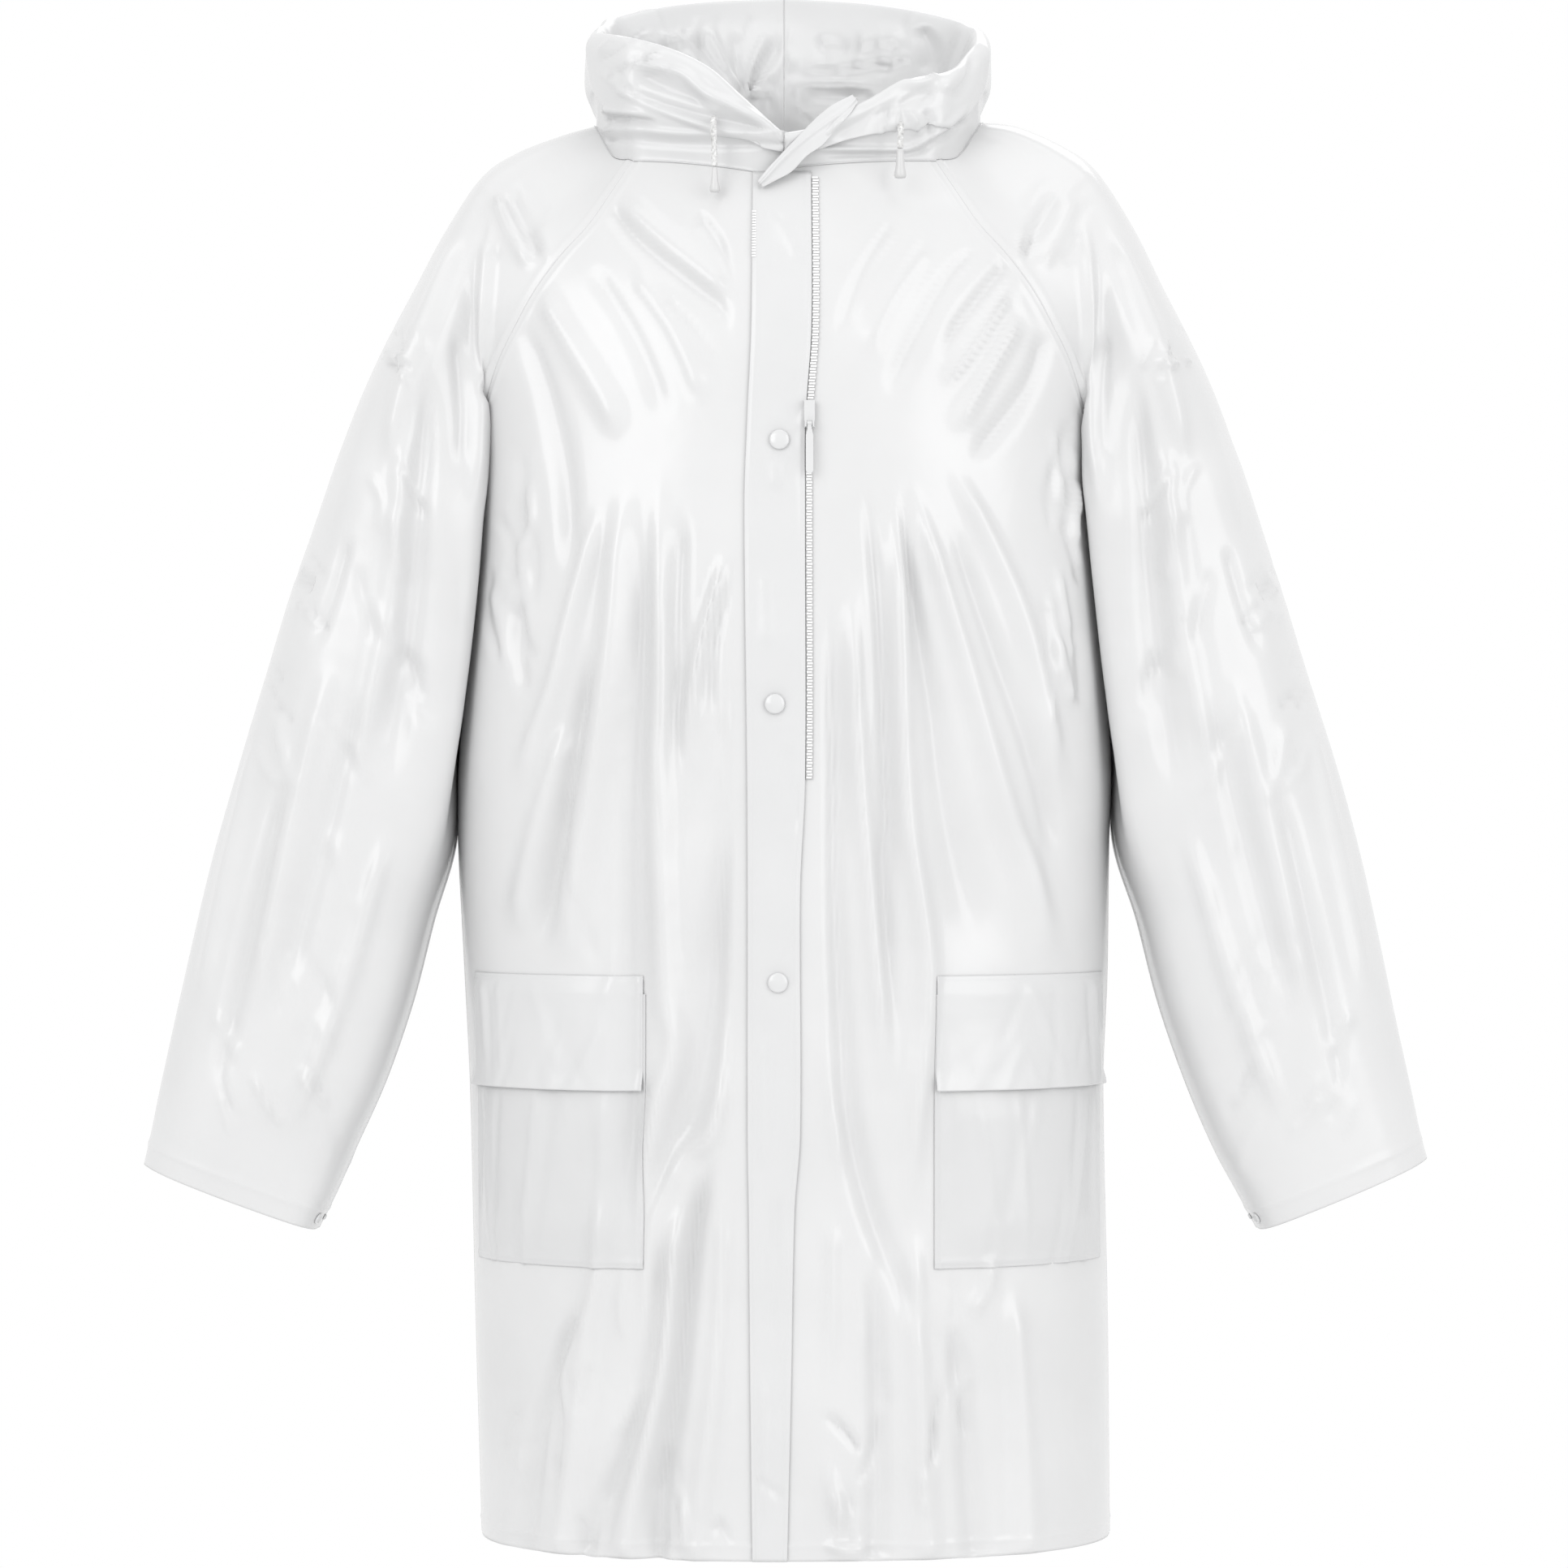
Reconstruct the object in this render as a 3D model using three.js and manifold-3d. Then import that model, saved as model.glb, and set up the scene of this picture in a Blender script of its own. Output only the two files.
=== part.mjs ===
// A hooded raincoat of milky film with raglan sleeves, hollow and filled out as if it were worn.
// Millimetres, +Z up, the front towards -Y. The origin is the middle of the neck at shoulder height.
import * as THREE from "three";
import { mergeVertices } from "three/addons/utils/BufferGeometryUtils.js";
import Module from "manifold-3d";

const wasm = await Module();
wasm.setup();

// Driving dimensions
const WALL = 1.2; // thickness of the cloth walls
const GAP = 0.4; // clearance at a seam or between two layers
const HEM_Z = -943;
const UNDERARM_Z = -265;
const NECK_DROP = 12; // how far the neckline dips from the raglan seam to the middle of the front
const CENTRE_EDGE_X = -14; // where the two fronts meet behind the flap
const FLAT_HALF = 38; // half width of the strip in front that has no folds
const FOLD_FADE = 16;
const FRONT_COLUMNS = 18;
const BACK_COLUMNS = 24;
const SLEEVE_COLUMNS = 22;
const HOOD_COLUMNS = 14;
const HOOD_ROWS = 10;
const SNAP_RADIUS = 6.5;
const SNAP_HEIGHT = 2.4;
const CUFF_SNAP_RADIUS = 4;
const CUFF_SNAP_HEIGHT = 1.6;
const CUFF_STUD_RADIUS = 2.2;
const FLAP_LIFT = 0.45; // the flap's back stands this far off the fronts
const ZIP_WIDTH = 4.4;
const ZIP_HEIGHT = 1.5;
const ZIP_TOP_Z = -38;
const ZIP_BOTTOM_Z = -435;
const CORD_SIDES = 8;
const CORD_RADIUS = 2;
const CORD_STEPS = 10;
const CORD_END_SIDES = 12;

// Horizontal sections of the body: half widths, half depths and the roundness of the outline
const TORSO = [
  { z: 14, right: 128, left: 134, front: 80, back: 86, round: 1.5 },
  { z: -5, right: 166, left: 184, front: 86, back: 98, round: 1.5 },
  { z: -22, right: 198, left: 208, front: 92, back: 106, round: 1.55 },
  { z: -44, right: 217, left: 226, front: 103, back: 116, round: 1.7 },
  { z: -66, right: 229, left: 236, front: 112, back: 123, round: 1.9 },
  { z: -106, right: 236, left: 240, front: 126, back: 132, round: 2.1 },
  { z: -140, right: 228, left: 230, front: 134, back: 136, round: 2.25 },
  { z: -190, right: 214, left: 214, front: 142, back: 139, round: 2.4 },
  { z: -265, right: 209, left: 210, front: 148, back: 141, round: 2.55 },
  { z: -320, right: 211, left: 213, front: 150, back: 142, round: 2.65 },
  { z: -372, right: 215.5, left: 217.5, front: 150, back: 143, round: 2.65 },
  { z: -430, right: 220, left: 221, front: 150, back: 144, round: 2.55 },
  { z: -478, right: 220, left: 219.5, front: 150, back: 144, round: 2.4 },
  { z: -566, right: 215.6, left: 218.4, front: 150, back: 145, round: 2.3 },
  { z: -640, right: 212, left: 215.6, front: 150, back: 145, round: 2.3 },
  { z: -786, right: 208.5, left: 218.4, front: 150, back: 146, round: 2.3 },
  { z: -943, right: 204, left: 220, front: 150, back: 148, round: 2.3 },
];

// Raglan seams, from the neck to the underarm: height and distance from the middle, in front and behind
const RAGLAN = [
  { frontZ: -22, frontX: 99, backZ: 8, backX: 84 },
  { frontZ: -44, frontX: 113, backZ: -18, backX: 98 },
  { frontZ: -66, frontX: 127, backZ: -44, backX: 114 },
  { frontZ: -90, frontX: 148, backZ: -72, backX: 134 },
  { frontZ: -115, frontX: 166, backZ: -100, backX: 152 },
  { frontZ: -140, frontX: 180, backZ: -128, backX: 169 },
  { frontZ: -165, frontX: 192, backZ: -156, backX: 184 },
  { frontZ: -190, frontX: 200, backZ: -184, backX: 196 },
  { frontZ: -215, frontX: 205.5, backZ: -212, backX: 203.5 },
  { frontZ: -240, frontX: 208, backZ: -240, backX: 207.5 },
];

// Heights of the rows of points below the underarm: pocket edges are among them
const FLAP_TOP_Z = -563;
const FLAP_BOTTOM_Z = -638;
const BAG_TOP_Z = -575;
const BAG_BOTTOM_Z = -754;
const LOWER_ROWS = [
  UNDERARM_Z, -300, -340, -380, -425, -470, -515, FLAP_TOP_Z, BAG_TOP_Z, -600, FLAP_BOTTOM_Z,
  -680, -718, BAG_BOTTOM_Z, -800, -850, -900, HEM_Z,
];

// Sleeve sections above the underarm, as distances outwards: the shoulder line, the arm's foremost
// point and the crease between arm and chest. leftX is the shoulder line of the other sleeve.
const SHOULDER = [
  { out: 126, outZ: 8, leftX: 132, leftZ: 10, armX: 122, armY: 27, armZ: -1, foldX: 112, foldY: 52 },
  { out: 150, outZ: 1, leftX: 158, leftZ: 7, armX: 145, armY: 34, armZ: -10, foldX: 132, foldY: 62 },
  { out: 181, outZ: -11, leftX: 190, leftZ: -7, armX: 171, armY: 42, armZ: -26, foldX: 153, foldY: 72 },
  { out: 205, outZ: -28, leftX: 212, leftZ: -24, armX: 196, armY: 52, armZ: -48, foldX: 180, foldY: 78 },
  { out: 230, outZ: -66, leftX: 237, leftZ: -63, armX: 213, armY: 70, armZ: -90, foldX: 199, foldY: 76 },
  { out: 249, outZ: -102, leftX: 256, leftZ: -102, armX: 222, armY: 84, armZ: -122, foldX: 203, foldY: 74 },
  { out: 266, outZ: -134, leftX: 272, leftZ: -133, armX: 233, armY: 90, armZ: -148, foldX: 205, foldY: 72 },
  { out: 279, outZ: -161, leftX: 285, leftZ: -160, armX: 243, armY: 91, armZ: -175, foldX: 208, foldY: 74 },
  { out: 289, outZ: -184, leftX: 295, leftZ: -184, armX: 249, armY: 90, armZ: -200, foldX: 211.5, foldY: 75 },
  { out: 298, outZ: -207, leftX: 303, leftZ: -206, armX: 254, armY: 89, armZ: -222, foldX: 214, foldY: 75 },
];

// Rings of the sleeve below the underarm: inner and outer edge seen from the front, and half depth
const ARM = [
  { inX: 210.0, inZ: -266, outX: 306, outZ: -229, leftIn: 211.0, leftX: 312, leftZ: -230, deep: 91, fore: 0 },
  { inX: 211.5, inZ: -305, outX: 319, outZ: -267, leftIn: 213.4, leftX: 324, leftZ: -267, deep: 88, fore: 0 },
  { inX: 215.0, inZ: -355, outX: 334, outZ: -310, leftIn: 217.1, leftX: 338, leftZ: -311, deep: 84, fore: 1 },
  { inX: 219.9, inZ: -412, outX: 351, outZ: -366, leftIn: 221.6, leftX: 355, leftZ: -366, deep: 80, fore: 2 },
  { inX: 222.0, inZ: -476, outX: 370, outZ: -430, leftIn: 222.8, leftX: 375, leftZ: -430, deep: 75, fore: 4 },
  { inX: 237, inZ: -530, outX: 386, outZ: -487, leftIn: 239, leftX: 390, leftZ: -487, deep: 70, fore: 6 },
  { inX: 251, inZ: -585, outX: 399, outZ: -542, leftIn: 253, leftX: 402, leftZ: -542, deep: 64, fore: 8 },
  { inX: 269, inZ: -638, outX: 411, outZ: -596, leftIn: 271, leftX: 413, leftZ: -596, deep: 59, fore: 10 },
  { inX: 289, inZ: -683, outX: 421, outZ: -642, leftIn: 290, leftX: 423, leftZ: -642, deep: 54, fore: 11 },
  { inX: 302, inZ: -713, outX: 427, outZ: -672, leftIn: 306, leftX: 429, leftZ: -671, deep: 50, fore: 12 },
  { inX: 314, inZ: -737, outX: 432, outZ: -694, leftIn: 319, leftX: 434, leftZ: -690, deep: 47, fore: 12 },
];

// The hood stands round the neck. place runs along half the neckline from the front to the back.
// The pouch hangs out behind, the crest is the top fold and the inner layer ends inside the neck.
// right and left are the crest's heights, and low, mid and crest say how far out the hood stands.
const HOOD = [
  { place: 0.0, right: -9, left: -9, low: 5, drop: -1, mid: 8, crest: 5, inner: 8, innerZ: -34 },
  { place: 0.08, right: 17, left: -2, low: 6, drop: -2, mid: 9, crest: 5, inner: 9, innerZ: -28 },
  { place: 0.14, right: 36, left: 12, low: 7, drop: -2, mid: 10, crest: 6, inner: 10, innerZ: -18 },
  { place: 0.22, right: 50, left: 28, low: 8, drop: -2, mid: 10, crest: 5, inner: 11, innerZ: -6 },
  { place: 0.32, right: 60, left: 37, low: 6, drop: -5, mid: 9, crest: 5, inner: 12, innerZ: 6 },
  { place: 0.42, right: 66, left: 54, low: 5, drop: -7, mid: 8, crest: 4, inner: 14, innerZ: 18 },
  { place: 0.52, right: 71, left: 70, low: 4, drop: -8, mid: 7, crest: 2, inner: 18, innerZ: 26 },
  { place: 0.68, right: 90, left: 88, low: 14, drop: -6, mid: 24, crest: 8, inner: 18, innerZ: 32 },
  { place: 0.85, right: 104, left: 103, low: 33, drop: 8, mid: 46, crest: 17, inner: 20, innerZ: 36 },
  { place: 1.0, right: 110, left: 110, low: 38, drop: 12, mid: 50, crest: 19, inner: 22, innerZ: 38 },
];

// The front flap's edges, from the neck to the hem
const FLAP = [
  { z: -34, left: -20.6, right: 17.9 },
  { z: -140, left: -21.5, right: 17.9 },
  { z: -200, left: -24, right: 14 },
  { z: -256, left: -25.8, right: 13.7 },
  { z: -435, left: -24, right: 13.7 },
  { z: -508, left: -23.7, right: 10.5 },
  { z: -666, left: -23.7, right: 10.5 },
  { z: -715, left: -23, right: 6.9 },
  { z: -825, left: -22, right: 4.7 },
  { z: -943, left: -20.6, right: 2.1 },
];

// Largest folds of the fronts: start, middle and end of each line, its width and its rise
const FRONT_FOLDS = [
  { x0: -104, z0: -245, x1: -123, z1: -435, x2: -144, z2: -560, width: 24, rise: 8 },
  { x0: -90, z0: -270, x1: -98, z1: -435, x2: -100, z2: -667, width: 20, rise: -6 },
  { x0: -80, z0: -240, x1: -80, z1: -435, x2: -98, z2: -736, width: 22, rise: 7 },
  { x0: -66, z0: -260, x1: -70, z1: -400, x2: -66, z2: -500, width: 20, rise: -5 },
  { x0: -37, z0: -290, x1: -47, z1: -430, x2: -42, z2: -660, width: 22, rise: 6 },
  { x0: -40, z0: -430, x1: -56, z1: -560, x2: -86, z2: -700, width: 24, rise: -7 },
  { x0: -48, z0: -670, x1: -63, z1: -767, x2: -83, z2: -943, width: 22, rise: -8 },
  { x0: -72, z0: -712, x1: -86, z1: -823, x2: -106, z2: -930, width: 22, rise: 7 },
  { x0: -122, z0: -55, x1: -81, z1: -100, x2: -36, z2: -150, width: 20, rise: -4 },
  { x0: -150, z0: -115, x1: -125, z1: -169, x2: -106, z2: -213, width: 22, rise: 5 },
  { x0: 30, z0: -301, x1: 34, z1: -496, x2: 99, z2: -812, width: 22, rise: -7 },
  { x0: 44, z0: -300, x1: 51, z1: -456, x2: 62, z2: -600, width: 20, rise: 6 },
  { x0: 74, z0: -243, x1: 79, z1: -400, x2: 86, z2: -660, width: 22, rise: 7 },
  { x0: 78, z0: -250, x1: 100, z1: -410, x2: 130, z2: -560, width: 26, rise: -7 },
  { x0: 87, z0: -243, x1: 118, z1: -360, x2: 176, z2: -561, width: 22, rise: 8 },
  { x0: 111, z0: -228, x1: 152, z1: -319, x2: 180, z2: -444, width: 22, rise: 7 },
  { x0: 36, z0: -700, x1: 34, z1: -798, x2: 30, z2: -890, width: 20, rise: 6 },
  { x0: 151, z0: -96, x1: 119, z1: -134, x2: 90, z2: -180, width: 20, rise: -4 },
];

// Largest folds of the back, which no view shows: loose falls from the shoulder blades
const BACK_FOLDS = [
  { x0: -150, z0: -250, x1: -140, z1: -430, x2: -150, z2: -700, width: 28, rise: 7 },
  { x0: -112, z0: -180, x1: -104, z1: -420, x2: -118, z2: -760, width: 26, rise: -6 },
  { x0: -74, z0: -160, x1: -66, z1: -430, x2: -72, z2: -930, width: 28, rise: 8 },
  { x0: -32, z0: -240, x1: -26, z1: -520, x2: -38, z2: -943, width: 26, rise: -7 },
  { x0: 8, z0: -300, x1: 12, z1: -600, x2: 6, z2: -943, width: 28, rise: 7 },
  { x0: 44, z0: -200, x1: 50, z1: -450, x2: 44, z2: -900, width: 26, rise: -7 },
  { x0: 82, z0: -160, x1: 88, z1: -430, x2: 96, z2: -943, width: 28, rise: 8 },
  { x0: 124, z0: -200, x1: 128, z1: -450, x2: 140, z2: -800, width: 26, rise: -6 },
  { x0: 158, z0: -280, x1: 160, z1: -500, x2: 166, z2: -820, width: 26, rise: 6 },
];

// Long creases of the sleeves: share of the way round from the inside over the front, the share of
// the length where the crease starts and ends, its width as a share round, and its rise
const SLEEVE_FOLDS = [
  { round0: 0.24, round1: 0.2, from: 0.42, to: 0.8, width: 0.05, rise: -4 },
  { round0: 0.36, round1: 0.3, from: 0.36, to: 0.86, width: 0.06, rise: 4 },
  { round0: 0.62, round1: 0.66, from: 0.38, to: 0.82, width: 0.06, rise: -4 },
  { round0: 0.76, round1: 0.8, from: 0.4, to: 0.84, width: 0.06, rise: 4 },
];

const SNAPS = [
  { name: "snap_top", x: -3, z: -214 },
  { name: "snap_middle", x: -6, z: -386 },
  { name: "snap_bottom", x: -4, z: -567 },
];

// Pocket edges as distances from the middle: the pockets wrap round towards the sides
const POCKETS = [
  { name: "right", side: -1, innerX: 99, outerX: 206 },
  { name: "left", side: 1, innerX: 92, outerX: 213 },
];

const film = new THREE.MeshStandardMaterial({ color: 0xf0f1f1, roughness: 0.28, metalness: 0 });
film.side = THREE.DoubleSide;
const trim = new THREE.MeshStandardMaterial({ color: 0xe8e9ea, roughness: 0.3, metalness: 0 });
trim.side = THREE.DoubleSide;
const white = new THREE.MeshStandardMaterial({ color: 0xf6f6f6, roughness: 0.4, metalness: 0 });
const metal = new THREE.MeshStandardMaterial({ color: 0xd8dadc, roughness: 0.3, metalness: 0.8 });
const cordCloth = new THREE.MeshStandardMaterial({ color: 0xe6e6e4, roughness: 0.8, metalness: 0 });

const coat = new THREE.Group();

function addPiece(name, geometry, material) {
  const mesh = new THREE.Mesh(geometry, material);
  mesh.name = name;
  coat.add(mesh);
  return mesh;
}

// A smooth value of one column of a table at a place along another column
function valueAt(table, along, column, place) {
  const rising = table[table.length - 1][along] > table[0][along];
  const rows = rising ? table : [...table].reverse();
  const last = rows.length - 1;
  if (place <= rows[0][along]) return rows[0][column];
  if (place >= rows[last][along]) return rows[last][column];
  let i = 0;
  while (place > rows[i + 1][along]) i++;
  const slope = (k) => {
    const before = rows[Math.max(k - 1, 0)];
    const after = rows[Math.min(k + 1, last)];
    return (after[column] - before[column]) / (after[along] - before[along]);
  };
  const span = rows[i + 1][along] - rows[i][along];
  const t = (place - rows[i][along]) / span;
  const t2 = t * t;
  const t3 = t2 * t;
  return (
    (2 * t3 - 3 * t2 + 1) * rows[i][column] +
    (t3 - 2 * t2 + t) * span * slope(i) +
    (3 * t2 - 2 * t3) * rows[i + 1][column] +
    (t3 - t2) * span * slope(i + 1)
  );
}

function smooth(low, high, value) {
  const t = Math.min(Math.max((value - low) / (high - low), 0), 1);
  return t * t * (3 - 2 * t);
}

// How far a fold table lifts the cloth at a place on the panel
function foldRise(folds, x, z) {
  let rise = 0;
  for (const fold of folds) {
    let nearest = Infinity;
    let along = 0;
    const steps = 10;
    for (let k = 0; k <= steps; k++) {
      const t = k / steps;
      const s = 1 - t;
      const px = s * s * fold.x0 + 2 * s * t * fold.x1 + t * t * fold.x2;
      const pz = s * s * fold.z0 + 2 * s * t * fold.z1 + t * t * fold.z2;
      const distance = Math.hypot(x - px, (z - pz) * 0.4);
      if (distance < nearest) {
        nearest = distance;
        along = t;
      }
    }
    if (nearest < fold.width) {
      const across = 0.5 + 0.5 * Math.cos((Math.PI * nearest) / fold.width);
      const atHem = fold.z2 <= HEM_Z + 60 ? 1 : smooth(0, 0.25, 1 - along);
      rise += fold.rise * across * smooth(0, 0.2, along + 0.03) * atHem;
    }
  }
  return rise;
}

// A point of the body: angle 0 is the middle of the front, 90 degrees the side, 180 the back
function torsoPoint(side, angle, z) {
  const half = valueAt(TORSO, "z", side < 0 ? "right" : "left", z);
  const round = valueAt(TORSO, "z", "round", z);
  const ahead = angle < Math.PI / 2;
  const depth = valueAt(TORSO, "z", ahead ? "front" : "back", z);
  const x = side * half * Math.abs(Math.sin(angle)) ** (2 / round);
  const y = (ahead ? -1 : 1) * depth * Math.abs(Math.cos(angle)) ** (2 / round);
  return new THREE.Vector3(x, y, z);
}

// The angle at which the body's outline passes a distance from the middle
function torsoAngle(side, x, z, ahead) {
  const half = valueAt(TORSO, "z", side < 0 ? "right" : "left", z);
  const round = valueAt(TORSO, "z", "round", z);
  const share = Math.min(x / half, 1) ** (round / 2);
  const angle = Math.asin(share);
  return ahead ? angle : Math.PI - angle;
}

// Vertex normals of an indexed set of points
function gridNormals(points, faces) {
  const normals = points.map(() => new THREE.Vector3());
  const ab = new THREE.Vector3();
  const ac = new THREE.Vector3();
  for (const [a, b, c] of faces) {
    ab.subVectors(points[b], points[a]);
    ac.subVectors(points[c], points[a]);
    ab.cross(ac);
    for (const corner of [a, b, c]) normals[corner].add(ab);
  }
  for (const normal of normals) normal.normalize();
  return normals;
}

// A wall of cloth from a grid of points on its outer face. Rows run down and columns run so that
// the faces look outwards. From the row wrapFrom on, the last column is the first one.
function wallOf(grid, { wrapFrom = Infinity, lift = 0, wall = WALL, flip = false } = {}) {
  const rowCount = grid.length;
  const columnCount = grid[0].length;
  const ids = [];
  const points = [];
  for (let j = 0; j < rowCount; j++) {
    ids.push([]);
    for (let i = 0; i < columnCount; i++) {
      if (i === columnCount - 1 && j >= wrapFrom) {
        ids[j].push(ids[j][0]);
      } else {
        ids[j].push(points.length);
        points.push(grid[j][i]);
      }
    }
  }
  const faces = [];
  for (let j = 0; j < rowCount - 1; j++) {
    for (let i = 0; i < columnCount - 1; i++) {
      const [a, b, c, d] = [ids[j][i], ids[j][i + 1], ids[j + 1][i + 1], ids[j + 1][i]];
      if (flip) faces.push([a, b, c], [a, c, d]);
      else faces.push([a, c, b], [a, d, c]);
    }
  }
  const normals = gridNormals(points, faces);
  const outer = points.map((p, k) => p.clone().addScaledVector(normals[k], lift + (lift > 0 ? wall : 0)));
  const inner = points.map((p, k) => p.clone().addScaledVector(normals[k], lift + (lift > 0 ? 0 : -wall)));
  const all = [...outer, ...inner];
  const triangles = faces.map((face) => [...face]);
  for (const [a, b, c] of faces) triangles.push([a + points.length, c + points.length, b + points.length]);

  // Each outer edge that has one face only is a border, closed by two triangles
  const edges = new Map();
  for (const [a, b, c] of faces) {
    for (const [p, q] of [[a, b], [b, c], [c, a]]) edges.set(p + "_" + q, [p, q]);
  }
  for (const [p, q] of edges.values()) {
    if (edges.has(q + "_" + p)) continue;
    triangles.push([q, p, p + points.length], [q, p + points.length, q + points.length]);
  }
  const geometry = new THREE.BufferGeometry();
  geometry.setAttribute("position", new THREE.Float32BufferAttribute(all.flatMap((p) => [p.x, p.y, p.z]), 3));
  geometry.setIndex(triangles.flat());
  geometry.computeVertexNormals();
  return geometry;
}

function solidOf(geometry) {
  const bare = geometry.clone();
  bare.deleteAttribute("normal");
  bare.deleteAttribute("uv");
  const merged = mergeVertices(bare, 1e-3);
  return new wasm.Manifold(
    new wasm.Mesh({
      numProp: 3,
      vertProperties: new Float32Array(merged.attributes.position.array),
      triVerts: new Uint32Array(merged.index.array),
    }),
  );
}

function geometryOf(solid) {
  const mesh = solid.getMesh();
  const geometry = new THREE.BufferGeometry();
  geometry.setAttribute("position", new THREE.BufferAttribute(mesh.vertProperties, 3));
  geometry.setIndex(new THREE.BufferAttribute(mesh.triVerts, 1));
  geometry.computeVertexNormals();
  return geometry;
}

// Fronts and back
const FRONT_ROWS = [...RAGLAN.map((row) => row.frontZ), ...LOWER_ROWS];
const BACK_ROWS = [...RAGLAN.map((row) => row.backZ), ...LOWER_ROWS];

function seamAngle(side, j, ahead) {
  if (j >= RAGLAN.length) return Math.PI / 2;
  const row = RAGLAN[j];
  return ahead
    ? torsoAngle(side, row.frontX, row.frontZ, true)
    : torsoAngle(side, row.backX, row.backZ, false);
}

// The height of a point of the front: the top row dips to the middle of the neckline
function frontHeight(j, share) {
  const z = FRONT_ROWS[j];
  const dip = NECK_DROP * (1 - share) ** 1.5;
  if (j === 0) return z - dip;
  if (j === 1) return z - dip * 0.35;
  return z;
}

function frontGrid(side, centreX) {
  const grid = [];
  for (let j = 0; j < FRONT_ROWS.length; j++) {
    const row = [];
    for (let i = 0; i <= FRONT_COLUMNS; i++) {
      const share = i / FRONT_COLUMNS;
      const z = frontHeight(j, share);
      const signed = centreX * side;
      const start = Math.sign(signed) * torsoAngle(side, Math.abs(signed), z, true);
      const angle = start + (seamAngle(side, j, true) - start) * share;
      const point = torsoPoint(angle < 0 ? -side : side, Math.abs(angle), z);
      const flat = smooth(FLAT_HALF, FLAT_HALF + FOLD_FADE, Math.abs(point.x));
      const fromSide = smooth(0, 30, Math.abs(point.y));
      const outward = new THREE.Vector3(point.x * 0.5, point.y, 0).normalize();
      point.addScaledVector(outward, foldRise(FRONT_FOLDS, point.x, z) * flat * fromSide);
      if (share === 1 && j >= RAGLAN.length) point.y = -GAP / 2;
      row.push(point);
    }
    grid.push(row);
  }
  return grid;
}

function backGrid() {
  const grid = [];
  for (let j = 0; j < BACK_ROWS.length; j++) {
    const z = BACK_ROWS[j];
    const row = [];
    for (let i = 0; i <= BACK_COLUMNS; i++) {
      const across = (2 * i) / BACK_COLUMNS - 1;
      const side = across < 0 ? -1 : 1;
      const edge = seamAngle(side, j, false);
      const angle = Math.PI - (Math.PI - edge) * Math.abs(across);
      const point = torsoPoint(side, angle, z);
      const fromSide = smooth(0, 40, Math.abs(point.y));
      const outward = new THREE.Vector3(point.x * 0.5, point.y, 0).normalize();
      point.addScaledVector(outward, foldRise(BACK_FOLDS, point.x, z) * fromSide);
      if (Math.abs(across) === 1 && j >= RAGLAN.length) point.y = GAP / 2;
      row.push(point);
    }
    grid.push(row);
  }
  return grid;
}

const rightFront = frontGrid(-1, CENTRE_EDGE_X - GAP / 2);
const leftFront = frontGrid(1, CENTRE_EDGE_X + GAP / 2);
const backPoints = backGrid();
addPiece("front_right", wallOf(rightFront, { flip: true }), film);
addPiece("front_left", wallOf(leftFront), film);
addPiece("back", wallOf(backPoints, { flip: true }), film);

// Sleeves: each section has eight spans, from the inside over the front, the outside and the back
function shoulderSection(side, j) {
  const row = SHOULDER[j];
  const out = side < 0 ? row.out : row.leftX;
  const outZ = side < 0 ? row.outZ : row.leftZ;
  const wider = out - row.out;
  const seams = RAGLAN[j];
  const front = torsoPoint(side, seamAngle(side, j, true), seams.frontZ);
  const back = torsoPoint(side, seamAngle(side, j, false), seams.backZ);
  const half = (ahead) => {
    const seam = ahead ? front : back;
    const sign = ahead ? -1 : 1;
    const level = ahead ? 0 : (seams.backZ - seams.frontZ) * 0.4;
    const fore = new THREE.Vector3(side * (row.armX + wider * 0.6), sign * row.armY, row.armZ + level);
    const creaseZ = seam.z * 0.8 + fore.z * 0.2;
    const crease = new THREE.Vector3(side * (row.foldX + wider * 0.3), sign * row.foldY, creaseZ);
    const quarter = new THREE.Vector3(
      THREE.MathUtils.lerp(fore.x, side * out, 0.72),
      fore.y * 0.7,
      THREE.MathUtils.lerp(fore.z, outZ, 0.65),
    );
    const start = seam.clone().add(crease.clone().sub(seam).setLength(GAP));
    return [start, crease, fore, quarter];
  };
  const ahead = half(true);
  const behind = half(false).reverse();
  return [...ahead, new THREE.Vector3(side * out, 0, outZ), ...behind];
}

const FLATTER = 1.2;

function armRing(side, row) {
  const inner = new THREE.Vector3(side * (side < 0 ? row.inX : row.leftIn), -row.fore, row.inZ);
  const outerZ = side < 0 ? row.outZ : row.leftZ;
  const outer = new THREE.Vector3(side * (side < 0 ? row.outX : row.leftX), -row.fore, outerZ);
  const centre = inner.clone().add(outer).multiplyScalar(0.5);
  const reach = inner.clone().sub(centre);
  const ring = [];
  for (let k = 0; k < 8; k++) {
    const turn = (k * Math.PI) / 4;
    // The side that lies against the body is flatter
    const corner = k === 1 || k === 7 ? FLATTER : 1;
    const point = centre.clone().addScaledVector(reach, Math.cos(turn) * corner);
    point.y -= row.deep * Math.sin(turn) * corner;
    ring.push(point);
  }
  return ring;
}

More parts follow.
